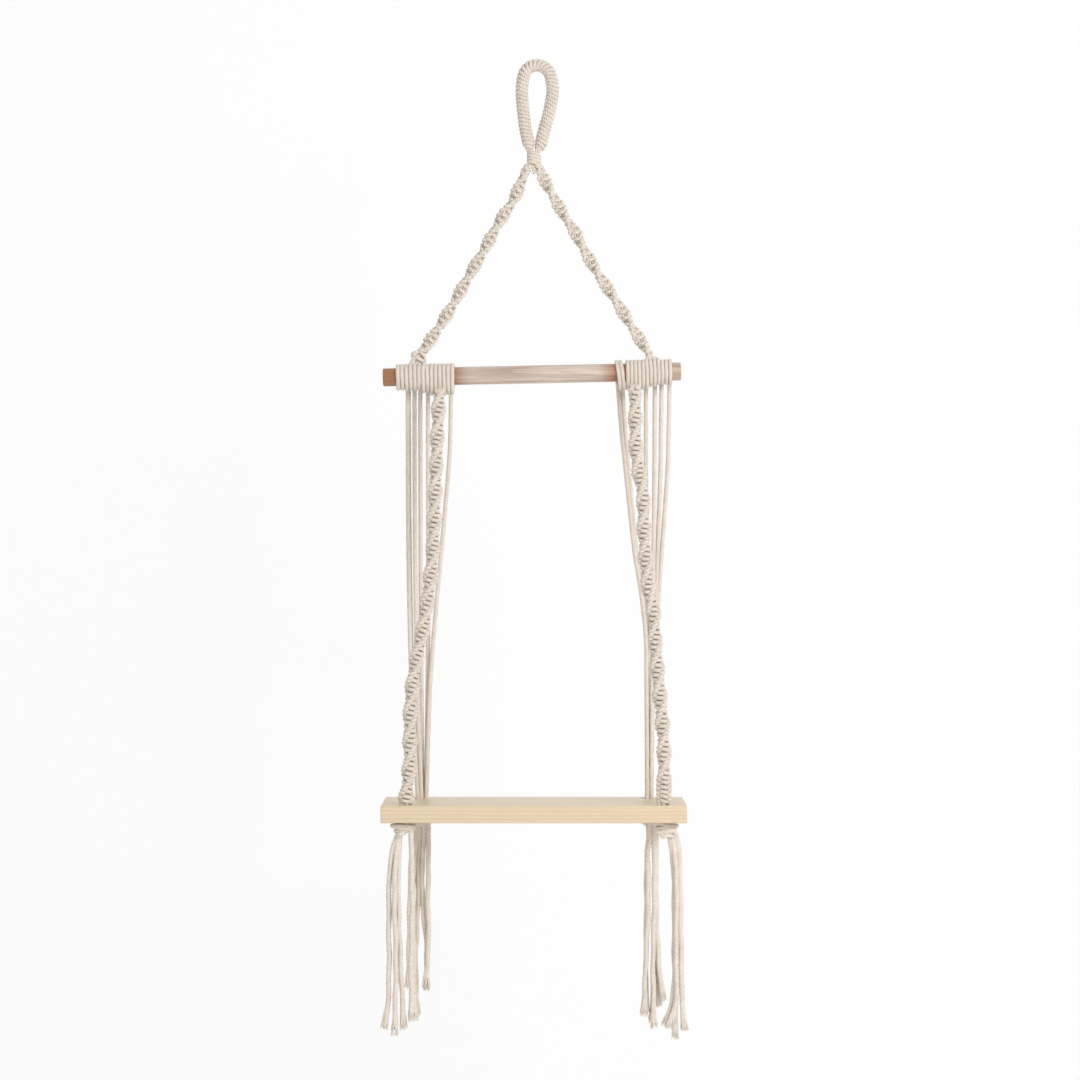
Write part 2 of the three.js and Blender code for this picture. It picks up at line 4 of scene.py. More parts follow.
import bmesh
import bpy
import numpy as np
from mathutils import Matrix, Vector


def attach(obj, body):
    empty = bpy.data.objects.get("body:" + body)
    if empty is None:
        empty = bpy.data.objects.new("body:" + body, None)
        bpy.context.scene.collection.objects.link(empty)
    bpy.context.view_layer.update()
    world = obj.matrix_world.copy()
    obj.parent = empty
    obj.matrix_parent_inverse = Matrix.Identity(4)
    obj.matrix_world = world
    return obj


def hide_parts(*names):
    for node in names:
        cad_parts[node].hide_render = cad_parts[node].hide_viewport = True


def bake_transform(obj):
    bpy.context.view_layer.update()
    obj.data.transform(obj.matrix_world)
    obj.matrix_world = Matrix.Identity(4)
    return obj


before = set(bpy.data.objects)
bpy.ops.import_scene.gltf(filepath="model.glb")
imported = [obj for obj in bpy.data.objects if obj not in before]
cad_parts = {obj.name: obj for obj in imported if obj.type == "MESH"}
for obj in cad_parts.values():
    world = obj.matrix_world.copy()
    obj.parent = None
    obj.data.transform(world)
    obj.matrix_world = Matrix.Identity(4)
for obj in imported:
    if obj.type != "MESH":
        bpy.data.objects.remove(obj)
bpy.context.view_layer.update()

# Hanging rope shelf: cords, rail and board. Sizes are in millimetres until a mesh is made.
# +Z is up and -Y is towards the viewer. The origin is where the hook bears inside the loop.
MM = 0.001
chance = random.Random(11)

# Camera: the photo's width and focal length in pixels, and the camera's place in metres
PHOTO_WIDTH = 1080
FOCAL_LENGTH = 3462
SENSOR_WIDTH = 36
CAMERA_PLACE = (0.006, -3.445, -0.466)

# Cord
CORD = 4.0
SOFT_CORD = 4.8
SOFT_STRAND = 5.5
CORD_PITCH = 4.3
CLEARANCE = 0.3
PLY_SHARE = 0.58
SOFT_PLY_SHARE = 0.7
LAY = 10.5

# Loop and neck
LOOP_POINTS = [
    (-3.3, -0.8, -79.5), (-4.9, -0.5, -73), (-7.2, 0, -64), (-9.4, 0, -50), (-11.9, 0, -15), (-7.6, 0, 1.6),
    (2.8, 0, 6.6), (13.6, 0, 1.6), (18.6, 0, -15), (15.2, 0, -40), (10.2, 0, -58), (7.7, 0.4, -68),
    (6.4, 0.8, -74), (3.8, 1.4, -79.5),
]
LOOP_DIAMETER = 13.4
LOOP_END_DIAMETER = 8.0
LOOP_CORE_DIAMETER = 6.4
LOOP_CORE_CORD = 2.75
LOOP_CORE_CORDS = 4
LOOP_CORE_TWIST = 160
LOOP_WRAP_PITCH = 3.8
LOOP_WRAP_CORDS = 3
LOOP_TAPER_SHARE = 0.05
NECK_DIAMETER = 14.8
NECK_CORD = 3.5
NECK_CORE_CORD = 2.8
NECK_CORE_SPREAD = 1.35
NECK_WRAP_TURNS = 3.9
NECK_WRAP_TOP = -78.73
NECK_WRAP_BOTTOM = -93.03

# Rail
RAIL_DIAMETER = 18.0
RAIL_LENGTH = 296.5
RAIL_DROP = 301.3
RAIL_SIDE = -2.0
RAIL_TILT = math.radians(1.15)
RAIL_EASE = 1.2
SEAT_RADIUS = 13.3
TUCK_DEPTH = 1.2
TUCK_RISE = 5.0
HITCHES = 7

# Board
BOARD_LENGTH = 300.0
BOARD_DEPTH = 120.0
BOARD_TOP = -726.0
BOARD_BOTTOM = -743.0
BOARD_CORNER = 1.5
BOARD_EASE = 0.8
FRONT_HOLE = (126.0, -45.0, 5.3)
BACK_HOLE = (114.0, 45.0, 6.5)
LEG_FOOT = -725.05

# Stopper knots
KNOT_Z = -748.7
KNOT_RADIUS = 5.4
STOPPER_CORD = 4.3
STOPPER_TURNS = 3.0
BACK_KNOT_LENGTH = 25.0
BACK_KNOT_TAPER = 0.3

# Knotted cords
KNOT_WIDTH = 14.6
KNOT_DEPTH = 10.2
KNOT_CORD = 3.8
LEG_KNOT_WIDTH = 16.6
LEG_KNOT_DEPTH = 12.6
LEG_KNOT_CORD = 4.2
KNOT_PLY_SHARE = 0.64
KNOTS_PER_HALF_TURN = 5
LEG_KNOTS_PER_HALF_TURN = 6
ARM_SPIRAL_HEAD = 0.5
ARM_SPIRAL_FOOT = 1.5
LEG_SPIRAL_HEAD = 7.0
LEG_SPIRAL_FOOT = 4.3

# Loose ends
STRAND_OPENS = 24
STRAND_TRIM = 8
FRAY_YARNS = 46
FRAY_LENGTH = (13, 26)
FRAY_ROOT = 1.4
FRAY_REACH = (2.4, 4.1)

# Studio, in metres
FLOOR_Z = -1.25
WALL_Y = 0.48
FLOOR_CORNERS = [(-3, -4, FLOOR_Z), (3, -4, FLOOR_Z), (3, 4, FLOOR_Z), (-3, 4, FLOOR_Z)]
WALL_CORNERS = [(-3, WALL_Y, FLOOR_Z), (3, WALL_Y, FLOOR_Z), (3, WALL_Y, 1.6), (-3, WALL_Y, 1.6)]

LEFT = {
    "name": "left",
    "sign": -1,
    "wrap": 3.7,
    "gap": 0.45,
    "wrap_start": 134.9,
    "inner_gap": 0.0,
    "inner_lean": 0.6,
    "droops": (0.3, 0.6, 1.0, 3.5, 6.0, 6.5, 5.5),
    "arm_foot": 116.4,
    "arm_course": [
        (-6.4, -93.0), (-12.4, -109.8), (-21.4, -129.7), (-29.3, -141.6), (-39.3, -158.5), (-51.7, -181.4),
        (-64.6, -203.3), (-79.0, -229.2), (-93.5, -253.1), (-101.5, -265.0), (-109.0, -276.5),
        (-114.2, -284.0), (-116.2, -290.6),
    ],
    "arm_spiral": {
        "half_turn": 28.5, "waist": 14.25, "head_width": 0.5, "foot_width": 1.5,
        "settles": 210, "last_turn": 0.45,
    },
    "arm_fan": (-6.6, -2.2, 2.2, 6.6),
    "leg_top": 93.4,
    "leg_fan": (-3.6, -1.2, 1.2, 3.6),
    "leg_spiral": {
        "half_turn": 27.5, "waist": 41.0, "head_width": 0.8, "foot_width": 1.1,
        "settles": 1000, "last_turn": 0,
    },
    "course": [
        (0, 0), (0.13, 0.066), (0.277, 0.139), (0.407, 0.203), (0.517, 0.364), (0.59, 0.516), (0.666, 0.718),
        (0.743, 0.842), (0.8, 0.88), (0.855, 0.877), (0.912, 0.899), (0.97, 0.975), (1, 1),
    ],
    "across": {
        "outer": (0, 0, 0, 0, 0, 0.05, 0.1, 0.2, 0.35, 1),
        "inner": (0, 0.01, 0.03, 0.08, 0.16, 0.4, 0.53, 0.71, 0.83, 1),
    },
    "cords": [
        (2.1, -0.7, -1, "outer"), (2.33, -0.75, 1, "outer"), (3.73, 0.2, -1, "outer"),
        (5.1, 0.25, 1, "outer"), (6.96, 1.15, 1, "outer"), (12.55, 1.25, -1, "inner"),
    ],
    "knot_length": 27.0,
    "knot_side": -2.2,
    "knot_turn": 0.4,
    "knot_taper": 0.62,
    "knot_tilt": 1.5,
    "knot_shift": -1.0,
    "back_knot_shift": -1.0,
    "front_strands": [
        (-45.0, [(-126.5, -51.5, -752.5), (-131.5, -51.8, -754.5)], [
            (-134.4, -757.6), (-138.3, -768.4), (-141.2, -788.0), (-142.3, -809.6),
            (-142.5, -848.9), (-142.3, -878.4), (-143.2, -917.6), (-147.2, -947.1),
        ]),
        (-48.5, [], [
            (-133.4, -757.6), (-134.9, -770.4), (-136.4, -794.9), (-136.9, -819.4),
            (-135.4, -868.5), (-135.9, -917.6), (-136.4, -953.0),
        ]),
        (-44.0, [], [
            (-131.5, -757.6), (-132.4, -770.4), (-133.2, -799.8), (-133.0, -829.3),
            (-131.4, -868.5), (-129.3, -917.6), (-127.5, -948.1),
        ]),
        (-47.0, [], [
            (-120.7, -756.6), (-120.2, -770.4), (-119.7, -799.8), (-119.7, -839.1),
            (-120.7, -878.4), (-120.2, -917.6), (-119.7, -939.2),
        ]),
    ],
    "back_strands": [
        (43.0, [], [
            (-121.0, -766.4), (-123.5, -788.6), (-125.1, -828.9), (-126.1, -889.4), (-126.6, -919.6),
        ]),
        (42.0, [], [
            (-118.5, -766.4), (-121.0, -788.6), (-122.0, -828.9),
            (-121.0, -889.4), (-121.0, -929.7), (-119.0, -950.9),
        ]),
        (43.0, [], [
            (-106.6, -758.4), (-106.4, -778.5), (-106.9, -828.9), (-106.2, -869.2), (-109.5, -917.6),
        ]),
        (48.0, [], [
            (-120.0, -766.4), (-122.0, -788.6), (-122.5, -828.9), (-122.5, -889.4), (-122.0, -937.8),
        ]),
        (49.0, [], [
            (-116.0, -766.4), (-117.0, -788.6), (-117.0, -828.9), (-119.5, -889.4), (-118.0, -945.9),
        ]),
        (48.0, [], [
            (-111.0, -766.4), (-112.4, -783.6), (-112.4, -828.9), (-108.5, -875.0), (-108.0, -921.7),
        ]),
    ],
}
RIGHT = {
    "name": "right",
    "sign": 1,
    "wrap": 3.4,
    "gap": 0.42,
    "wrap_start": 139.0,
    "inner_gap": 1.7,
    "inner_lean": 3.0,
    "droops": (0.2, 0.4, 2.0, 4.5, 5.5, 5.0, 5.0),
    "arm_foot": 120.4,
    "arm_course": [
        (4.2, -93.0), (11.5, -109.8), (22.4, -129.7), (32.9, -147.6), (40.8, -159.5), (48.8, -175.4),
        (58.2, -191.4), (65.7, -204.3), (74.7, -217.2), (81.6, -228.2), (89.6, -241.1), (97.5, -254.0),
        (106.5, -268.0), (114.0, -280.0), (116.6, -284.5),
    ],
    "arm_spiral": {
        "half_turn": 30.6, "waist": 1.2, "head_width": 0.8, "foot_width": 0.85,
        "settles": 1000, "last_turn": 0,
    },
    "arm_fan": (-5.0, -1.0, 3.0, 7.0),
    "leg_top": 100.4,
    "leg_fan": (-3.6, -1.2, 1.2, 3.6),
    "leg_spiral": {
        "half_turn": 27.6, "waist": 26.0, "head_width": 0.8, "foot_width": 1.0,
        "settles": 398.6, "last_turn": 0,
    },
    "course": [
        (0, 0), (0.09, 0), (0.153, 0.01), (0.208, 0.1), (0.273, 0.29), (0.355, 0.324), (0.43, 0.405),
        (0.502, 0.515), (0.535, 0.665), (0.593, 0.723), (0.67, 0.82), (0.746, 0.93), (0.82, 1.035),
        (0.897, 1.075), (0.973, 1.06), (1, 1),
    ],
    "across": {
        "outer": (0, 0, 0.03, 0.05, 0.12, 0.38, 0.5, 0.68, 0.82, 1),
        "inner": (0, 0.07, 0.15, 0.24, 0.33, 0.58, 0.765, 0.95, 0.97, 1),
    },
    "cords": [
        (14.64, 0, -1.8, "inner"), (13.46, 0, 0, "inner"), (7.07, 0.1, 1.8, "outer"),
        (4.77, 0.95, -0.9, "outer"), (3.04, 1, 0.9, "outer"), (0.94, 0.6, 2.0, "outer"),
    ],
    "knot_length": 24.0,
    "knot_side": 4.4,
    "knot_turn": 2.4,
    "knot_taper": 0.72,
    "knot_tilt": -1.7,
    "knot_shift": 1.0,
    "back_knot_shift": 3.5,
    "front_strands": [
        (-43.0, [], [
            (133.6, -758.6), (135.4, -770.4), (137.2, -790.0), (137.9, -819.4),
            (137.9, -868.5), (137.5, -907.8), (134.0, -927.4), (127.7, -944.1),
        ]),
        (-48.0, [], [
            (135.6, -758.6), (137.6, -770.4), (139.5, -790.0), (140.0, -829.3),
            (139.5, -868.5), (139.5, -917.6), (132.2, -946.1),
        ]),
        (-45.0, [(124.8, -51.6, -757.0), (130.5, -52.6, -755.4)], [
            (138.5, -758.6), (141.0, -770.4), (142.5, -790.0), (143.0, -829.3),
            (140.5, -868.5), (139.5, -917.6), (138.5, -956.9),
        ]),
        (-47.5, [(121.9, -51.4, -753.7), (129.5, -52.8, -751.6), (136.6, -52.2, -750.9)], [
            (140.5, -758.6), (142.4, -770.4), (143.4, -794.9), (144.0, -829.3),
            (144.7, -868.5), (145.6, -917.6), (148.3, -948.1),
        ]),
    ],
    "back_strands": [
        (43.0, [], [(116.9, -766.4), (114.9, -778.5), (114.9, -839.0), (112.7, -886.4), (110.8, -946.9)]),
        (42.0, [], [(121.0, -766.4), (121.2, -778.5), (121.2, -828.9), (119.9, -886.4), (120.9, -959.0)]),
        (43.0, [], [(123.5, -766.4), (123.0, -778.5), (123.2, -828.9), (125.4, -886.4), (130.5, -931.7)]),
        (48.0, [], [(115.4, -766.4), (113.9, -783.6), (113.4, -839.0), (112.9, -889.4), (112.9, -943.8)]),
        (49.0, [], [(121.0, -766.4), (121.6, -783.6), (121.4, -839.0), (120.4, -889.4), (119.2, -953.9)]),
        (48.0, [], [(123.2, -766.4), (122.8, -783.6), (122.9, -839.0), (124.2, -889.4), (126.0, -937.8)]),
    ],
}
PLAIN_DOWN = (0, 0.07, 0.14, 0.2, 0.26, 0.42, 0.5, 0.62, 0.72, 1)
PLAIN_ROW = (0, 0.38, 0.7, 0.9, 1.05, 1.05, 1.05, 1.03, 1.02, 1)


def added(name, data):
    made = bpy.data.objects.new(name, data)
    bpy.context.collection.objects.link(made)
    return made


def place_camera():
    data = bpy.data.cameras.new("camera")
    data.sensor_width = SENSOR_WIDTH
    data.lens = SENSOR_WIDTH * FOCAL_LENGTH / PHOTO_WIDTH
    data.clip_end = 20
    camera = added("camera", data)
    camera.location = CAMERA_PLACE
    camera.rotation_euler = (math.pi / 2, 0, 0)
    bpy.context.scene.camera = camera


def blend_between(a, b, share):
    return a + (b - a) * share


def eased(value, low, high):
    """0 below low, 1 above high, and smooth between them."""
    share = np.clip((np.asarray(value, float) - low) / (high - low), 0, 1)
    return share * share * (3 - 2 * share)


def run_of(line):
    """Distance along a line at each of its points."""
    return np.concatenate([[0], np.cumsum(np.linalg.norm(np.diff(line, axis=0), axis=1))])


def evenly(line, step):
    """The line again, with its points a step apart."""
    along = run_of(line)
    at = np.linspace(0, along[-1], max(2, math.ceil(along[-1] / step) + 1))
    return np.stack([np.interp(at, along, line[:, k]) for k in range(3)], axis=1)


def smooth_route(points, step):
    """One smooth curve through the points, with its own points a step apart."""
    p = np.array(points, float)
    p = np.vstack([2 * p[0] - p[1], p, 2 * p[-1] - p[-2]])
    stretches = []
    for a, b, c, d in zip(p[:-3], p[1:-2], p[2:-1], p[3:]):
        gaps = [max(np.linalg.norm(y - x), 1e-6) ** 0.5 for x, y in ((a, b), (b, c), (c, d))]
        t0, t1, t2, t3 = np.concatenate([[0], np.cumsum(gaps)])
        count = max(3, math.ceil(np.linalg.norm(c - b) / step) + 1)
        t = np.linspace(t1, t2, count, endpoint=False)[:, None]
        a1 = ((t1 - t) * a + (t - t0) * b) / (t1 - t0)
        a2 = ((t2 - t) * b + (t - t1) * c) / (t2 - t1)
        a3 = ((t3 - t) * c + (t - t2) * d) / (t3 - t2)
        b1 = ((t2 - t) * a1 + (t - t0) * a2) / (t2 - t0)
        b2 = ((t3 - t) * a2 + (t - t1) * a3) / (t3 - t1)
        stretches.append(((t2 - t) * b1 + (t - t1) * b2) / (t2 - t1))
    stretches.append(p[-2:-1])
    return evenly(np.vstack(stretches), step)


def spread_over(at, along, values):
    """Values that belong to distances along a line, read at other distances."""
    return np.stack([np.interp(at, along, values[:, k]) for k in range(3)], axis=1)


def tangents_of(line):
    along = np.gradient(line, axis=0)
    return along / np.linalg.norm(along, axis=1)[:, None]


def carried_frame(line):
    """Two directions square to a line at each point, carried along it without a twist."""
    tangents = tangents_of(line)
    normal = np.cross(tangents[0], (0.3, 1.0, 0.2))
    normals = []
    for tangent in tangents:
        normal = normal - tangent * (normal @ tangent)
        normal = normal / np.linalg.norm(normal)
        normals.append(normal)
    normals = np.array(normals)
    return normals, np.cross(tangents, normals)


def level_frame(line):
    """Directions across a hanging line and towards its back."""
    tangents = tangents_of(line)
    across = np.cross(tangents, (0, 1, 0))
    across = across / np.linalg.norm(across, axis=1)[:, None]
    return across, np.cross(across, tangents)


def towards(angle, across, back):
    """The direction at each angle, from one direction towards another that is square to it."""
    return np.cos(angle)[:, None] * across + np.sin(angle)[:, None] * back


def plies(line, diameter, lay=LAY, opening=None, ply_share=PLY_SHARE):
    """The three plies of a cord that is laid along a line, as routes for tubes.
    opening is how far they spread apart at each point, as a share of the cord's own radius, and ply_share is
    a ply's own diameter as a share of the cord's: the larger it is, the smoother the cord."""
    normal, side = carried_frame(line)
    along = run_of(line)
    start = chance.uniform(0, 2 * math.pi)
    ply_radius = np.full(len(line), ply_share * diameter / 2)
    offset = np.full(len(line), (1 - ply_share) * diameter / 2)
    if opening is not None:
        offset = offset * (1 + opening)
        ply_radius = ply_radius * (1 - 0.16 * opening)
    routes = []
    for k in range(3):
        angle = 2 * math.pi * (along / lay + k / 3) + start
        ply = line + offset[:, None] * towards(angle, normal, side)
        routes.append({"line": ply, "radius": ply_radius, "middle": line, "reach": diameter / 2})
    return routes


def tubes(name, routes, sides=6):
    """One mesh of round tubes along routes in millimetres. Its UV map runs round each tube and along it in
    centimetres, and it has an attribute for painted shade in the grooves, 1 down between the plies and 0 on
    their crests."""
    curve = bpy.data.curves.new(name, "CURVE")
    curve.dimensions = "3D"
    curve.bevel_depth = 1.0
    curve.bevel_resolution = (sides - 4) // 2
    curve.use_fill_caps = True
    for route in routes:
        count = len(route["line"])
        spline = curve.splines.new("POLY")
        spline.points.add(count - 1)
        spline.points.foreach_set("co", np.column_stack([route["line"] * MM, np.ones(count)]).ravel())
        spline.points.foreach_set("radius", np.asarray(route["radius"], float) * MM)
        spline.use_smooth = True
    holder = bpy.data.objects.new(name, curve)
    mesh = bpy.data.meshes.new_from_object(holder)
    bpy.data.objects.remove(holder)
    bpy.data.curves.remove(curve)
    mesh.name = name

    points = np.zeros(len(mesh.vertices) * 3)
    mesh.vertices.foreach_get("co", points)
    points = points.reshape(-1, 3) / MM
    uv = np.zeros(len(mesh.loops) * 2)
    mesh.uv_layers[0].data.foreach_get("uv", uv)
    uv = uv.reshape(-1, 2)
    crease = np.zeros(len(points))
    at = len(points) - sides * sum(len(route["line"]) for route in routes)
    corner = len(uv) - 4 * sides * sum(len(route["line"]) - 1 for route in routes)
    for route in routes:
        count = len(route["line"])
        rings = points[at : at + count * sides].reshape(count, sides, 3)
        # painted shade: 1 in the grooves between the plies, 0 on their crests
        far = np.linalg.norm(rings - route["middle"][:, None, :], axis=2) / route["reach"]
        crease[at : at + count * sides] = 1 - eased(far, 0.5, 0.98).ravel()
        at += count * sides
        corners = (count - 1) * sides * 4
        uv[corner : corner + corners, 1] *= run_of(route["line"])[-1] / 10
        uv[corner : corner + corners, 0] += chance.uniform(0, 5)
        corner += corners
    mesh.uv_layers[0].data.foreach_set("uv", uv.ravel())
    mesh.attributes.new("crease", "FLOAT", "POINT").data.foreach_set("value", crease.astype(np.float32))
    return added(name, mesh)


def laid_cords(name, lines, diameter, lay=LAY, sides=6, ply_share=PLY_SHARE):
    routes = []
    for line in lines:
        routes += plies(line, diameter, lay, ply_share=ply_share)
    return tubes(name, routes, sides)


def rail_z(x):
    return -RAIL_DROP + (x - RAIL_SIDE) * math.tan(RAIL_TILT)


def on_rail(points):
    """Points given round the rail's own middle and axis, put in their place."""
    p = np.array(points, float)
    x = p[:, 0] * math.cos(RAIL_TILT) - p[:, 2] * math.sin(RAIL_TILT) + RAIL_SIDE
    z = p[:, 0] * math.sin(RAIL_TILT) + p[:, 2] * math.cos(RAIL_TILT) - RAIL_DROP
    return np.column_stack([x, p[:, 1], z])


def wrap_side(side, turns):
    return side["wrap_start"] - turns * (side["wrap"] + side["gap"])


# Cords that hang free: plain cords behind the legs, and the loose strands below the board


def plain_cord(side, number, turns, column, row, group):
    """A cord from behind the rail, its top tucked into the hitches' backs, to the board's back hole."""
    name = f"plain_cord_{side['name']}_{number}"
    top_x = side["sign"] * wrap_side(side, turns)
    top = (top_x, SEAT_RADIUS + CORD / 2, rail_z(top_x) + 1)
    hole_x = side["sign"] * BACK_HOLE[0] + column * CORD_PITCH
    row_step = row * (CORD_PITCH + CLEARANCE) / 2
    foot_z = LEG_FOOT - CORD
    points = [(top[0], SEAT_RADIUS - TUCK_DEPTH, top[2] + TUCK_RISE)]
    for down, row_share, across in zip(PLAIN_DOWN, PLAIN_ROW, side["across"][group]):
        x = blend_between(top[0], hole_x, across)
        y = blend_between(top[1], BACK_HOLE[1], down) + row_step * row_share
        points.append((x, y, blend_between(top[2], foot_z, down)))
    line = smooth_route(points, 1.3)
    line = line[line[:, 2] > BOARD_TOP - 1.5]
    piece = laid_cords(name + "_rope", [line], SOFT_CORD, ply_share=SOFT_PLY_SHARE)
    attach(piece, side["name"] + "_legs")
    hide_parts(name)
    return piece


def frayed_end(line, diameter):
    """Thin yarns that fan out of the last stretch of a strand."""
    along = run_of(line)
    length = along[-1]
    normal, side = carried_frame(line)
    routes = []
    for k in range(FRAY_YARNS):
        at = np.linspace(length - chance.uniform(*FRAY_LENGTH), length + chance.uniform(-6, 0), 8)
        base, across, back = (spread_over(at, along, values) for values in (line, normal, side))
        share = np.linspace(0, 1, len(at))
        reach = FRAY_ROOT + (chance.uniform(*FRAY_REACH) - FRAY_ROOT) * share**0.8
        angle = chance.uniform(0, 2 * math.pi) + chance.uniform(-0.9, 0.9) * share
        yarn = base + reach[:, None] * towards(angle, across, back)
        radius = 0.7 - 0.4 * share
        routes.append({"line": yarn, "radius": radius, "middle": base, "reach": diameter / 2})
    return routes


def loose_strand(name, body, knot_y, depth, over, course):
    """A strand that leaves its knot, in some places after a run across the knot's front, and hangs along its
    own course of (x, z) points."""
    points = list(over) or [(course[0][0], knot_y, KNOT_Z - 1)]
    for x, z in course:
        points.append((x, blend_between(knot_y, depth, float(eased(KNOT_Z - z, 8, 45))), z))
    line = smooth_route(points, 1.3)
    along = run_of(line)
    free = eased(along, 20, 60) * (1 - eased(along, along[-1] - 30, along[-1]))
    phase = chance.uniform(0, 2 * math.pi)
    line[:, 0] += 0.35 * free * np.sin(2 * math.pi * along / 43 + phase)
    line[:, 1] += 0.5 * free * np.sin(2 * math.pi * along / 37 + 2 * phase)
    along = run_of(line)
    opening = 0.7 * eased(along, along[-1] - STRAND_OPENS, along[-1])
    trimmed = along < along[-1] - STRAND_TRIM
    routes = plies(line[trimmed], SOFT_STRAND, LAY + 1.5, opening[trimmed], SOFT_PLY_SHARE)
    routes += frayed_end(line, SOFT_STRAND)
    piece = tubes(name + "_rope", routes)
    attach(piece, body)
    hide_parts(name)
    return piece


def tassel(side, place):
    name = f"{place}_{side['name']}"
    knot_y = (FRONT_HOLE if place == "front" else BACK_HOLE)[1]
    return [
        loose_strand(f"strand_{name}_{number}", f"tassel_{name}", knot_y, depth, over, course)
        for number, (depth, over, course) in enumerate(side[place + "_strands"], 1)
    ]


place_camera()
ropes = []
for side in (LEFT, RIGHT):
    for number, seat in enumerate(side["cords"], 1):
        ropes.append(plain_cord(side, number, *seat))
    ropes += tassel(side, "front") + tassel(side, "back")


# Loop and neck


def loop_radius(share):
    full = eased(np.minimum(share, 1 - share), 0, LOOP_TAPER_SHARE)
    return blend_between(LOOP_END_DIAMETER, LOOP_DIAMETER, full) / 2


def from_loop_to_neck(piece):
    """Bakes the piece's place in the world into its mesh."""
    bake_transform(piece)


def loop_wrapping():
    """Three cords wound side by side, closely round the loop's bundle from end to end."""
    middle = smooth_route(LOOP_POINTS, 0.25)
    along = run_of(middle)
    across, back = level_frame(middle)
    wrap = LOOP_WRAP_PITCH * 1.1
    lead = LOOP_WRAP_PITCH * LOOP_WRAP_CORDS
    inset = wrap / 2
    at = np.linspace(inset, along[-1] - inset, int(along[-1] / lead * 30))
    radius = loop_radius(at / along[-1]) - wrap / 2
    centre, sideways, backwards = (spread_over(at, along, values) for values in (middle, across, back))
    lines = []
    for cord in range(LOOP_WRAP_CORDS):
        angle = 2 * math.pi * (at / lead + cord / LOOP_WRAP_CORDS)
        lines.append(evenly(centre + radius[:, None] * towards(angle, sideways, backwards), 1.1))
    piece = laid_cords("loop_wrapping_cord", lines, wrap, lay=8.5)
    from_loop_to_neck(piece)
    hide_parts("loop_wrapping")
    return piece


def bundle(middle, count, radius, twist):
    """Lines of a bundle of cords round a middle line, with a slow twist."""
    across, back = level_frame(middle)
    along = run_of(middle)
    lines = []
    for k in range(count):
        angle = 2 * math.pi * (k / count + along / twist)
        lines.append(middle + radius * towards(angle, across, back))
    return lines


def loop_core():
    middle = smooth_route(LOOP_POINTS, 1.6)
    radius = (LOOP_CORE_DIAMETER - LOOP_CORE_CORD) / 2
    lines = bundle(middle, LOOP_CORE_CORDS, radius, LOOP_CORE_TWIST)
    piece = laid_cords("loop_core_cords", lines, LOOP_CORE_CORD, lay=9)
    from_loop_to_neck(piece)
    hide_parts("loop_core")
    return piece


def neck_core():
    """Eight cords that run from the loop's two ends through the neck's wrap to the arms."""
    lines = []
    spread = NECK_CORE_SPREAD
    for sign in (-1, 1):
        for dx, dy in ((-1, -1), (1, -1), (1, 1), (-1, 1)):
            points = [
                (sign * 4.8 + dx * spread, dy * spread, -70),
                (sign * 4.75 + dx * spread, dy * spread, -75.5),
                (sign * 2.6 + dx * 1.1, dy * 2.2, -80.5),
                (sign * 2.2 + dx * 1.1, dy * 2.2, -87),
                (sign * 2.6 + dx * 1.2, dy * 1.7, -92),
                (sign * (3.6 if dx == sign else 0.8) + dx * 0.6, dy * 1.7, -99.5 if dx == sign else -101.5),
            ]
            lines.append(smooth_route(points, 1.0))
    piece = laid_cords("neck_core_cords", lines, NECK_CORE_CORD, lay=9)
    from_loop_to_neck(piece)
    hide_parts("neck_core")
    return piece


def neck_wrapping():
    """The gathering wrap: a few close, slanting turns, with both ends tucked in under them."""
    count = int(NECK_WRAP_TURNS * 40)
    turn = np.linspace(-NECK_WRAP_TURNS / 2, NECK_WRAP_TURNS / 2, count)
    tucked = eased(np.abs(turn), NECK_WRAP_TURNS / 2 - 0.3, NECK_WRAP_TURNS / 2)
    radius = (NECK_DIAMETER - NECK_CORD) / 2 - 1.9 * tucked
    middle = (NECK_WRAP_TOP + NECK_WRAP_BOTTOM) / 2 + 0.4
    pitch = (NECK_WRAP_TOP - NECK_WRAP_BOTTOM - NECK_CORD + 1.2) / NECK_WRAP_TURNS
    angle = 2 * math.pi * turn
    slant = -0.24 * radius * np.cos(angle)
    line = np.column_stack([radius * np.cos(angle), radius * np.sin(angle), middle - pitch * turn + slant])
    piece = laid_cords("neck_wrapping_cord", [evenly(line, 1.0)], NECK_CORD, lay=8.5, sides=8)
    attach(piece, "neck")
    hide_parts("neck_wrapping")
    return piece


# Arms and legs: half-knot spirals of four cords


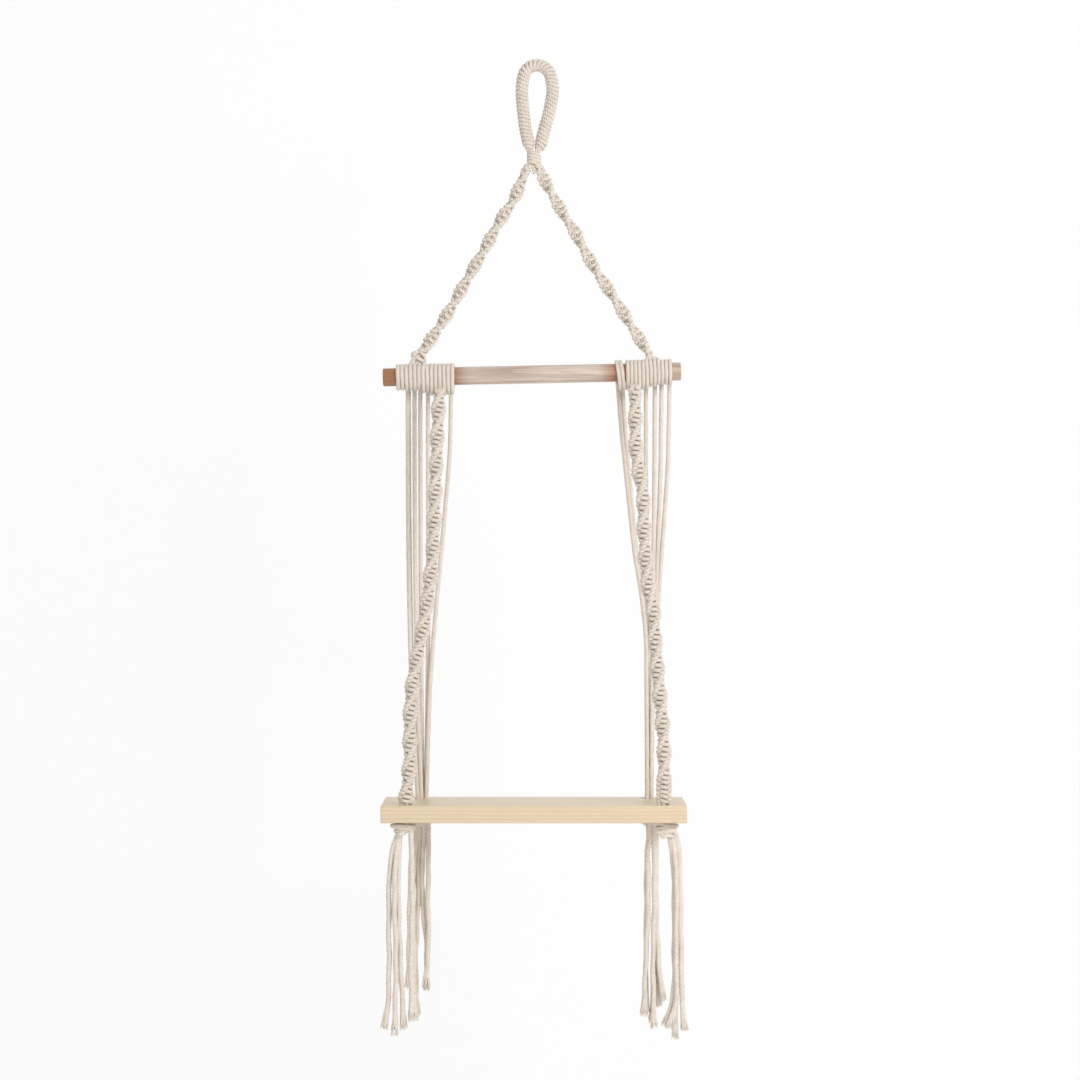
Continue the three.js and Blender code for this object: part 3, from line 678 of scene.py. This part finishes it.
def knot_spiral(middle, start, stop, spiral, width, depth, cord, knots_per_half_turn):
    """Lines of the four cords of a half-knot spiral along a middle line, between two distances along it: two
    cords that are knotted round two fillers. Each half knot is turned a little from the last, so that the
    band is seen edge-on at a distance called waist, and again after each half turn. From the distance called
    settles it turns no more than last_turn, a share of a half turn. head_width and foot_width are the spread
    of its first and last knots as a share of the others'."""
    along = run_of(middle)
    across, back = level_frame(middle)
    half_turn = spiral["half_turn"]
    settles = spiral["settles"]
    knots = round((stop - start) / half_turn * knots_per_half_turn)
    step = (stop - start) / knots
    outer = (width - cord) / 2
    inner = 0.78 * outer
    front = (depth - cord) / 2

    def placed(points, most=2.0):
        p = np.array(points, float)
        last_turn = spiral["last_turn"] * half_turn * eased(p[:, 2], settles, settles + 9)
        turned = np.minimum(p[:, 2], settles) + last_turn
        turn = math.pi / 2 - math.pi * (turned - spiral["waist"]) / half_turn
        head = blend_between(spiral["head_width"], 1, eased(p[:, 2], start, start + 12))
        foot = blend_between(1, spiral["foot_width"], eased(p[:, 2], stop - 14, stop - 4))
        spread = np.minimum(head * foot, most)
        u = spread * (p[:, 0] * np.cos(turn) - p[:, 1] * np.sin(turn))
        v = spread * (p[:, 0] * np.sin(turn) + p[:, 1] * np.cos(turn))
        at = p[:, 2]
        centre, sideways, backwards = (spread_over(at, along, values) for values in (middle, across, back))
        return centre + u[:, None] * sideways + v[:, None] * backwards

    lines = []
    for first in (0, 1):
        points = []
        for knot in range(knots):
            way = 1 if (knot + first) % 2 == 0 else -1
            loose = chance.uniform(0.93, 1.05)
            at = start + (knot + 0.5) * step + chance.uniform(-0.04, 0.04) * step
            over = [
                (-inner, 0.45 * front, -0.22), (-0.45 * inner, -0.8 * front, -0.1), (0, -front * loose, 0),
                (0.45 * inner, -0.8 * front, 0.1), (inner, 0.45 * front, 0.22), (outer * loose, 0, 0.5),
            ]
            points += [(way * u, way * v, at + s * step) for u, v, s in over]
        lines.append(placed(points[:-1]))
    for way in (-1, 1):
        s = np.arange(start, stop + 0.1, 2.0)
        lines.append(placed(np.column_stack([np.full(len(s), way * 0.42 * cord), np.zeros(len(s)), s]), 1.0))
    return lines


def arm(side):
    sign = side["sign"]
    middle = smooth_route([(x, -3.0 * float(eased(-z, 272, 288)), z) for x, z in side["arm_course"]], 1.0)
    foot_x = middle[-1, 0]
    stop = run_of(middle)[-1] - ARM_SPIRAL_FOOT
    size = (KNOT_WIDTH, KNOT_DEPTH, KNOT_CORD)
    spiral = knot_spiral(middle, ARM_SPIRAL_HEAD, stop, side["arm_spiral"], *size, KNOTS_PER_HALF_TURN)
    starts = [(2.2, -1.6), (4.4, 1.2), (2.0, 1.6), (4.2, -1.2)]
    ends = [side["arm_fan"][k] for k in ((0, 3, 1, 2) if sign < 0 else (3, 0, 2, 1))]
    lines = []
    for line, (x, y), end in zip(spiral, starts, ends):
        end_x = foot_x + end
        wrap_top = rail_z(end_x) + SEAT_RADIUS - side["wrap"] / 2
        head = [(sign * x, y, NECK_WRAP_BOTTOM + 6), (sign * (x + 0.6), y, NECK_WRAP_BOTTOM + 2)]
        tail = [(end_x, -4.2, wrap_top + 0.4), (end_x, -7.6, wrap_top - 2.6), (end_x, -8.4, wrap_top - 5)]
        lines.append(smooth_route(np.vstack([head, line, tail]), 1.1))
    piece = laid_cords(f"arm_{side['name']}_cords", lines, KNOT_CORD, lay=8.5, ply_share=KNOT_PLY_SHARE)
    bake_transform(piece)
    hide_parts("arm_" + side["name"])
    return piece


def knotted_leg(side):
    sign = side["sign"]
    top_x = sign * side["leg_top"]
    top = (top_x, -SEAT_RADIUS - 2.1, rail_z(top_x) - 7)
    foot = (sign * FRONT_HOLE[0], FRONT_HOLE[1], LEG_FOOT - CORD)
    points = []
    for down, across in side["course"]:
        x = blend_between(top[0], foot[0], across)
        y = blend_between(top[1], foot[1], down)
        points.append((x, y, blend_between(top[2], foot[2], down)))
    middle = smooth_route(points, 1.0)
    stop = run_of(middle)[-1] - LEG_SPIRAL_FOOT
    size = (LEG_KNOT_WIDTH, LEG_KNOT_DEPTH, LEG_KNOT_CORD)
    spiral = knot_spiral(middle, LEG_SPIRAL_HEAD, stop, side["leg_spiral"], *size, LEG_KNOTS_PER_HALF_TURN)
    starts = [side["leg_fan"][k] for k in (0, 3, 1, 2)]
    ends = [(-2.4, -1.3), (2.4, 1.3), (-1.3, 2.4), (1.3, -2.4)]
    lines = []
    for line, start, (dx, dy) in zip(spiral, starts, ends):
        x = top_x + start
        z = rail_z(x)
        head = [(x, -5.5, z - 12.5), (x, -9.5, z - 13.5), (top_x + 0.9 * start, -13.0, z - 15.5)]
        tail = [
            (foot[0] + dx, foot[1] + dy, BOARD_TOP + 1.5),
            (foot[0] + dx, foot[1] + dy, BOARD_TOP - 2.5),
        ]
        lines.append(smooth_route(np.vstack([head, line[line[:, 2] < z - 16], tail]), 1.15))
    piece = laid_cords(
        f"knotted_leg_{side['name']}_cords", lines, LEG_KNOT_CORD, lay=9.0, ply_share=KNOT_PLY_SHARE
    )
    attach(piece, side["name"] + "_legs")
    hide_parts("knotted_leg_" + side["name"])
    return piece


# Hitches: each cord is doubled behind the rail and wound once round it at both ends of its bight


def hitch(side, number):
    wrap = side["wrap"]
    pitch = wrap + side["gap"]
    droop = side["droops"][number - 1]
    inner = number == HITCHES
    apart = side["inner_gap"] if inner else 0
    middle = wrap_side(side, 1 / 2 + 2 * (number - 1)) - wrap / 2 - apart
    close = RAIL_DIAMETER / 2 + CLEARANCE / 2 + wrap / 2
    over = close + 0.8 * wrap
    lean = side["inner_lean"] if inner else chance.uniform(-0.35, 0.35)
    half = []
    for angle in range(-42, 345, 9):
        layer = blend_between(close, over, float(eased(angle, 296, 344)))
        x = pitch / 2 + chance.uniform(-0.07, 0.07) - lean / 2 * math.sin(math.radians(angle)) * side["sign"]
        half.append((angle, layer, x))
    other_half = [(angle, radius, x - pitch) for angle, radius, x in half]
    bight = [(354, over + 0.2, -pitch * 0.4), (359, over + 0.3, 0), (354, over + 0.2, pitch * 0.4)]
    points = []
    for angle, radius, x in other_half + bight + half[::-1]:
        turn = math.radians(angle)
        slack = droop * float(eased(angle, 165, 245) * (1 - eased(angle, 265, 335)))
        points.append((side["sign"] * middle + x, radius * math.cos(turn), radius * math.sin(turn) - slack))
    line = smooth_route(on_rail(points), 1.1)
    piece = laid_cords(f"hitch_{side['name']}_{number}_cord", [line], pitch * 1.1, lay=8.0)
    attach(piece, "rail_unit")
    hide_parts(f"hitch_{side['name']}_{number}")
    return piece


# Stopper knots: the leg's cords wound round themselves under the board, below the bundle in the hole


def stopper_knot(side, place):
    front = place == "front"
    hole_x, hole_y, hole_radius = FRONT_HOLE if front else BACK_HOLE
    hole_x = side["sign"] * hole_x
    length = side["knot_length"] if front else BACK_KNOT_LENGTH
    cord = STOPPER_CORD
    turn = np.linspace(0, STOPPER_TURNS, int(STOPPER_TURNS * 26))
    drift = turn / STOPPER_TURNS
    angle = 2 * math.pi * turn + side["knot_turn"]
    taper = side["knot_taper"] if front else BACK_KNOT_TAPER
    shift = side["knot_shift"] if front else side["back_knot_shift"]
    reach = (length - cord) / 2 * blend_between(1.0, taper, eased(drift, 0.3, 0.8))
    depth = (KNOT_RADIUS + 0.9 - cord / 2) * (1.0 + 0.2 * np.sin(math.pi * drift))
    tilt = side["knot_tilt"] * np.cos(2 * math.pi * turn * 0.37)
    x = reach * np.cos(angle) + shift * drift
    z = blend_between(KNOT_RADIUS - cord / 2 + 0.6, -KNOT_RADIUS + cord / 2 - 0.2, drift)
    z = z + tilt * np.cos(angle)
    knot_x = hole_x + (side["knot_side"] if front else 0)
    coil = np.column_stack([knot_x + x, hole_y + depth * np.sin(angle), KNOT_Z + z])
    top = (knot_x, hole_y, KNOT_Z + 4)
    bottom = (knot_x + shift, hole_y, KNOT_Z - 4)
    lines = [smooth_route(np.vstack([[top], coil, [bottom]]), 1.0)]
    spread = hole_radius - CLEARANCE - cord / 2
    count = 4 if front else 6
    for k in range(count):
        turn = 2 * math.pi * k / count + 0.5
        dx = spread * math.cos(turn)
        dy = spread * math.sin(turn)
        column = k - (count - 1) / 2
        points = [
            (hole_x + dx, hole_y + dy, BOARD_TOP - 0.3),
            (hole_x + dx, hole_y + dy, BOARD_BOTTOM + 3),
            (hole_x + 0.8 * dx, hole_y + 0.8 * dy, BOARD_BOTTOM - 1.5),
            (blend_between(hole_x, knot_x, 0.7) + 2.0 * column, hole_y + 0.4 * dy, KNOT_Z),
            (knot_x + (2.4 if front else 1.6) * column + shift, hole_y + 0.3 * dy, KNOT_Z - 4.6),
        ]
        lines.append(smooth_route(points, 1.0))
    name = f"stopper_knot_{place}_{side['name']}"
    piece = laid_cords(name + "_cords", lines, cord, lay=9.5)
    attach(piece, "board_unit")
    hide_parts(name)
    return piece


# Wood


def new_piece(name, shape):
    mesh = bpy.data.meshes.new(name)
    shape.to_mesh(mesh)
    shape.free()
    return added(name, mesh)


def bevel(shape, geom, affect, offset, segments):
    bmesh.ops.bevel(
        shape, geom=geom, affect=affect, offset=offset * MM, segments=segments, profile=0.5, material=-1
    )


def rail():
    shape = bmesh.new()
    bmesh.ops.create_cone(
        shape,
        cap_ends=True,
        cap_tris=False,
        segments=72,
        radius1=RAIL_DIAMETER / 2 * MM,
        radius2=RAIL_DIAMETER / 2 * MM,
        depth=RAIL_LENGTH * MM,
    )
    rims = [e for e in shape.edges if abs(e.verts[0].co.z - e.verts[1].co.z) < 1e-6]
    bevel(shape, rims, "EDGES", RAIL_EASE, 4)
    for turn in (math.pi / 2, -RAIL_TILT):
        bmesh.ops.rotate(shape, verts=shape.verts, matrix=Matrix.Rotation(turn, 3, "Y"))
    bmesh.ops.translate(shape, verts=shape.verts, vec=Vector((RAIL_SIDE, 0, -RAIL_DROP)) * MM)
    for face in shape.faces:
        face.smooth = len(face.verts) == 4
    piece = new_piece("rail_dowel", shape)
    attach(piece, "rail_unit")
    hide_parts("rail")
    return piece


def board():
    """A flat face with four round holes, drawn up to its thickness, with its arrises and hole rims eased."""
    shape = bmesh.new()
    corners = [
        shape.verts.new((sx * BOARD_LENGTH / 2 * MM, sy * BOARD_DEPTH / 2 * MM, BOARD_BOTTOM * MM))
        for sx, sy in ((-1, -1), (1, -1), (1, 1), (-1, 1))
    ]
    for k in range(4):
        shape.edges.new((corners[k], corners[(k + 1) % 4]))
    bevel(shape, corners, "VERTICES", BOARD_CORNER, 4)
    outline = list(shape.edges)
    for sign in (-1, 1):
        for hole_x, hole_y, radius in (FRONT_HOLE, BACK_HOLE):
            place = Matrix.Translation(Vector((sign * hole_x, hole_y, BOARD_BOTTOM)) * MM)
            made = bmesh.ops.create_circle(
                shape, cap_ends=False, segments=40, radius=radius * MM, matrix=place
            )
            outline += list({e for v in made["verts"] for e in v.link_edges})
    bmesh.ops.triangle_fill(shape, use_beauty=True, use_dissolve=False, edges=outline)
    lifted = bmesh.ops.extrude_face_region(shape, geom=list(shape.faces), use_keep_orig=True)
    raised = [g for g in lifted["geom"] if isinstance(g, bmesh.types.BMVert)]
    bmesh.ops.translate(shape, verts=raised, vec=(0, 0, (BOARD_TOP - BOARD_BOTTOM) * MM))
    bmesh.ops.recalc_face_normals(shape, faces=shape.faces)
    arrises = [e for e in shape.edges if len(e.link_faces) == 2 and e.calc_face_angle(0) > 1.2]
    bevel(shape, arrises, "EDGES", BOARD_EASE, 3)
    bmesh.ops.recalc_face_normals(shape, faces=shape.faces)
    for face in shape.faces:
        face.smooth = abs(face.normal.z) < 0.99
    piece = new_piece("board_pine", shape)
    piece.data.set_sharp_from_angle(angle=math.radians(40))
    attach(piece, "board_unit")
    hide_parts("board")
    return piece


# Finishes


def shade(red, green, blue):
    """A colour written as it looks on screen, 0 to 255, as a shader takes it."""
    parts = []
    for value in (red, green, blue):
        value /= 255
        parts.append(value / 12.92 if value <= 0.04045 else ((value + 0.055) / 1.055) ** 2.4)
    return (*parts, 1.0)


def feed(tree, entry, value):
    """Gives an input a constant, or what a (node, socket) puts out."""
    if isinstance(value, tuple) and isinstance(value[0], bpy.types.Node):
        tree.links.new(value[0].outputs[value[1]], entry)
    else:
        entry.default_value = value


def node(tree, kind, *entries, **settings):
    """A new node. Its first inputs take the entries in turn, each a constant or a (node, socket)."""
    made = tree.nodes.new(kind)
    for name, value in settings.items():
        setattr(made, name, value)
    for entry, value in zip(made.inputs, entries):
        feed(tree, entry, value)
    return made


def join(tree, source, socket, target, entry):
    tree.links.new(source.outputs[socket], target.inputs[entry])


def mixed(tree, share, share_socket, first, second, mode="MIX"):
    """A colour mix whose share comes from a node; first and second are colours or (node, socket)."""
    mix = node(tree, "ShaderNodeMix", data_type="RGBA", blend_type=mode)
    join(tree, share, share_socket, mix, "Factor")
    feed(tree, mix.inputs[6], first)
    feed(tree, mix.inputs[7], second)
    return mix


def ramp(tree, source, low, high, low_value=0.0, high_value=1.0):
    """Remaps a value smoothly between two limits."""
    limits = (low, high, low_value, high_value)
    return node(tree, "ShaderNodeMapRange", source, *limits, interpolation_type="SMOOTHSTEP")


def noise(tree, source, scale, detail, **settings):
    made = node(tree, "ShaderNodeTexNoise", source, **settings)
    made.inputs["Scale"].default_value = scale
    made.inputs["Detail"].default_value = detail
    return made


def group_outputs(tree, **outputs):
    """Makes a group's outputs, each from a (node, socket)."""
    for name in outputs:
        tree.interface.new_socket(name, in_out="OUTPUT", socket_type="NodeSocketFloat")
    finish = node(tree, "NodeGroupOutput")
    for name, value in outputs.items():
        feed(tree, finish.inputs[name], value)


def spun_cotton_group():
    """Fibres that run slanting along a cord's plies, and the soft unevenness of spun cotton. It also passes
    on the mesh's attribute for painted shade between the plies.
    """
    tree = bpy.data.node_groups.new("spun_cotton", "ShaderNodeTree")
    face = tree.interface
    face.new_socket("Fibre Count", in_out="INPUT", socket_type="NodeSocketFloat").default_value = 9.0
    face.new_socket("Slant", in_out="INPUT", socket_type="NodeSocketFloat").default_value = 3.0
    start = node(tree, "NodeGroupInput")
    along = node(tree, "ShaderNodeUVMap", uv_map="UVMap")
    apart = node(tree, "ShaderNodeSeparateXYZ", (along, "UV"))
    around = node(tree, "ShaderNodeMath", (apart, "X"), (start, "Fibre Count"), operation="MULTIPLY")
    slant = ((apart, "Y"), (start, "Slant"), (around, 0))
    slanted = node(tree, "ShaderNodeMath", *slant, operation="MULTIPLY_ADD")
    place = node(tree, "ShaderNodeCombineXYZ", (slanted, 0), (apart, "Y"))
    fine = noise(tree, (place, 0), 1.0, 3.0, noise_dimensions="2D")
    fine.inputs["Roughness"].default_value = 0.65
    sharp = ramp(tree, (fine, "Fac"), 0.34, 0.66)
    where = node(tree, "ShaderNodeTexCoord")
    uneven = noise(tree, (where, "Object"), 130.0, 2.0)
    slubs = ramp(tree, (uneven, "Fac"), 0.35, 0.7)
    # painted shade between the plies, read from the mesh
    crease = node(tree, "ShaderNodeAttribute", attribute_name="crease")
    raised = ((slubs, "Result"), 0.6, (sharp, "Result"))
    height = node(tree, "ShaderNodeMath", *raised, operation="MULTIPLY_ADD")
    group_outputs(
        tree, Fibres=(sharp, "Result"), Slubs=(slubs, "Result"), Crease=(crease, "Fac"), Height=(height, 0)
    )
    return tree


def wood_grain_group():
    """Growth rings round a long axis on X, fine fibres along it, and slow changes of tone."""
    tree = bpy.data.node_groups.new("wood_grain", "ShaderNodeTree")
    face = tree.interface
    face.new_socket("Heart", in_out="INPUT", socket_type="NodeSocketVector")
    face.new_socket("Ring Scale", in_out="INPUT", socket_type="NodeSocketFloat").default_value = 80.0
    face.new_socket("Waviness", in_out="INPUT", socket_type="NodeSocketFloat").default_value = 4.0
    start = node(tree, "NodeGroupInput")
    where = node(tree, "ShaderNodeTexCoord")
    from_heart = ((where, "Object"), (start, "Heart"))
    centred = node(tree, "ShaderNodeVectorMath", *from_heart, operation="SUBTRACT")
    long_way = node(tree, "ShaderNodeVectorMath", (centred, 0), (0.07, 1.0, 1.0), operation="MULTIPLY")
    rings = node(tree, "ShaderNodeTexWave", wave_type="RINGS", rings_direction="X", wave_profile="SAW")
    rings.inputs["Detail"].default_value = 2.0
    rings.inputs["Detail Scale"].default_value = 0.35
    rings.inputs["Detail Roughness"].default_value = 0.45
    join(tree, long_way, 0, rings, "Vector")
    join(tree, start, "Ring Scale", rings, "Scale")
    join(tree, start, "Waviness", rings, "Distortion")
    late = ramp(tree, (rings, "Fac"), 0.35, 1.0)
    drawn = node(tree, "ShaderNodeVectorMath", (centred, 0), (25.0, 900.0, 900.0), operation="MULTIPLY")
    fibres = noise(tree, (drawn, 0), 1.0, 3.0)
    streaks = ramp(tree, (fibres, "Fac"), 0.36, 0.68)
    broad = node(tree, "ShaderNodeVectorMath", (centred, 0), (9.0, 60.0, 60.0), operation="MULTIPLY")
    tone = noise(tree, (broad, 0), 1.0, 1.5)
    spread = ramp(tree, (tone, "Fac"), 0.35, 0.68)
    raised = ((streaks, "Result"), 0.5, (late, "Result"))
    height = node(tree, "ShaderNodeMath", *raised, operation="MULTIPLY_ADD")
    group_outputs(
        tree, Rings=(late, "Result"), Fibres=(streaks, "Result"), Tone=(spread, "Result"), Height=(height, 0)
    )
    return tree


def material(name, roughness):
    made = bpy.data.materials.new(name)
    made.use_nodes = True
    surface = made.node_tree.nodes["Principled BSDF"]
    surface.inputs["Roughness"].default_value = roughness
    return made, made.node_tree, surface


def placed_group(tree, group, **values):
    made = node(tree, "ShaderNodeGroup", node_tree=group)
    for name, value in values.items():
        made.inputs[name.replace("_", " ")].default_value = value
    return made


def relief(tree, source, surface, strength, distance):
    bump = node(tree, "ShaderNodeBump", strength, distance)
    join(tree, source, "Height", bump, "Height")
    join(tree, bump, "Normal", surface, "Normal")


def cotton_finish(name, group, light, tone, groove_shade_colour, fibre_count, slant):
    made, tree, surface = material(name, 0.92)
    cotton = placed_group(tree, group, Fibre_Count=fibre_count, Slant=slant)
    body = mixed(tree, cotton, "Slubs", light, tone)
    spun = mixed(tree, cotton, "Fibres", tone, (body, 2))
    # painted shade: the grooves between the plies are darkened towards the groove colour
    groove_shaded = mixed(tree, cotton, "Crease", (spun, 2), groove_shade_colour)
    join(tree, groove_shaded, 2, surface, "Base Color")
    surface.inputs["Sheen Weight"].default_value = 0.12
    surface.inputs["Sheen Roughness"].default_value = 0.6
    surface.inputs["Specular IOR Level"].default_value = 0.2
    relief(tree, cotton, surface, 0.35, 0.0003)
    return made


def wood_finish(
    name, group, early, late, weathered, heart, ring_scale, waviness, roughness, fibre_tint, streakiness
):
    """A wood, and the last colour in it, so that more can be laid over that."""
    made, tree, surface = material(name, roughness)
    grain = placed_group(tree, group, Heart=heart, Ring_Scale=ring_scale, Waviness=waviness)
    rings = mixed(tree, grain, "Rings", early, late)
    toned_share = node(tree, "ShaderNodeMath", (grain, "Tone"), 0.55, operation="MULTIPLY")
    toned = mixed(tree, toned_share, 0, (rings, 2), weathered)
    fibre_share = node(tree, "ShaderNodeMath", (grain, "Fibres"), streakiness, operation="MULTIPLY")
    streaked = mixed(tree, fibre_share, 0, (toned, 2), fibre_tint)
    join(tree, streaked, 2, surface, "Base Color")
    relief(tree, grain, surface, 0.25, 0.00012)
    return made, streaked


def browner_ends(made, last_colour, stain_and_shade, paler_from, browner_to):
    """Stain that has worn off between the cords' wraps, and is left under the wraps and at the wood's two
    ends; next to the inner wraps, where it begins, the brown is partly painted shade beside them. Towards
    the right end it turns paler."""
    tree = made.node_tree
    where = node(tree, "ShaderNodeTexCoord")
    apart = node(tree, "ShaderNodeSeparateXYZ", (where, "Object"))
    far = node(tree, "ShaderNodeMath", (apart, "X"), operation="ABSOLUTE")
    # browner towards both ends: stain, and next to the inner wraps also painted shade
    ends = ramp(tree, (far, 0), paler_from, browner_to)
    # paler towards the right end
    paler_right = ramp(tree, (apart, "X"), 0.1, 0.135, 1.0, 0.4)
    share = node(tree, "ShaderNodeMath", (ends, "Result"), (paler_right, "Result"), operation="MULTIPLY")
    darker = mixed(tree, share, 0, (last_colour, 2), stain_and_shade, "MULTIPLY")
    join(tree, darker, 2, tree.nodes["Principled BSDF"], "Base Color")


def finish_with(piece, finish):
    piece.data.materials.clear()
    piece.data.materials.append(finish)


# Studio


def lamp(name, place, aim, size, power):
    data = bpy.data.lights.new(name, "AREA")
    data.shape = "SQUARE"
    data.size = size
    data.energy = power
    made = added(name, data)
    made.location = place
    made.rotation_mode = "QUATERNION"
    made.rotation_quaternion = (Vector(aim) - Vector(place)).to_track_quat("-Z", "Y")


def pale_stage(name, colour, whiteness):
    """A pale surface that is seen nearly white, and only from its front, and that takes shadows."""
    made, tree, surface = material(name, 0.9)
    surface.inputs["Base Color"].default_value = colour
    seen = node(tree, "ShaderNodeEmission")
    path = node(tree, "ShaderNodeLightPath")
    rays = ((path, "Is Camera Ray"), (path, "Is Glossy Ray"))
    shown = node(tree, "ShaderNodeMath", *rays, operation="ADD")
    share = node(tree, "ShaderNodeMath", (shown, 0), whiteness, operation="MULTIPLY")
    whiter = node(tree, "ShaderNodeMixShader", (share, 0), (surface, 0), (seen, 0))
    clear = node(tree, "ShaderNodeBsdfTransparent")
    sides = node(tree, "ShaderNodeNewGeometry")
    choice = node(tree, "ShaderNodeMixShader", (sides, "Backfacing"), (whiter, 0), (clear, 0))
    join(tree, choice, 0, tree.nodes["Material Output"], "Surface")
    return made


def flat_stage(name, corners, finish):
    shape = bmesh.new()
    shape.faces.new([shape.verts.new(c) for c in corners])
    piece = new_piece(name, shape)
    piece.data.materials.append(finish)


def studio():
    scene = bpy.context.scene
    scene.view_settings.view_transform = "Standard"
    world = bpy.data.worlds.new("studio")
    scene.world = world
    world.use_nodes = True
    tree = world.node_tree
    light = tree.nodes["Background"]
    light.inputs["Color"].default_value = (1.0, 0.99, 0.975, 1.0)
    light.inputs["Strength"].default_value = 0.55
    seen = node(tree, "ShaderNodeBackground", (1.0, 1.0, 1.0, 1.0), 0.97)
    path = node(tree, "ShaderNodeLightPath")
    choice = node(tree, "ShaderNodeMixShader", (path, "Is Camera Ray"), (light, 0), (seen, 0))
    join(tree, choice, 0, tree.nodes["World Output"], "Surface")
    lamp("key_lamp", (1.6, -2.3, 0.6), (0, 0, -0.45), 1.3, 48)
    lamp("fill_lamp", (-1.3, -3.0, -0.6), (0, 0, -0.5), 2.0, 12)

    floor = pale_stage("pale_floor", shade(244, 243, 241), 0.7)
    flat_stage("floor", FLOOR_CORNERS, floor)
    wall = pale_stage("pale_wall", shade(246, 246, 246), 0.8)
    flat_stage("wall", WALL_CORNERS, wall)


dowel = rail()
pine_board = board()
knots = []
for side in (LEFT, RIGHT):
    knots += [arm(side), knotted_leg(side)]
    knots += [hitch(side, number) for number in range(1, HITCHES + 1)]
    knots += [stopper_knot(side, "front"), stopper_knot(side, "back")]
knots += [loop_wrapping(), loop_core(), neck_core(), neck_wrapping()]

cotton_group = spun_cotton_group()
grain_group = wood_grain_group()
# the third colour is painted shade for the grooves between the plies
cream_cord = cotton_finish(
    "cream_cotton", cotton_group, shade(243, 235, 225), shade(231, 221, 209), shade(186, 172, 157), 9.0, 4.0
)
pine_finish, _ = wood_finish(
    "pine", grain_group, shade(225, 206, 177), shade(213, 191, 157), shade(221, 203, 175),
    (0.0, 0.09, -0.86), 130.0, 3.2, 0.36, shade(208, 186, 154), 0.3,
)
stain_finish, stain_colour = wood_finish(
    "brown_stain", grain_group, shade(211, 194, 181), shade(189, 168, 153), shade(224, 212, 202),
    (0.0, 0.006, -0.304), 120.0, 5.0, 0.36, shade(150, 122, 104), 0.42,
)
# the brown ends are stain, partly painted shade beside the wraps
browner_ends(stain_finish, stain_colour, shade(208, 163, 128), 0.06, 0.084)
for piece in ropes + knots:
    finish_with(piece, cream_cord)
finish_with(pine_board, pine_finish)
finish_with(dowel, stain_finish)
studio()
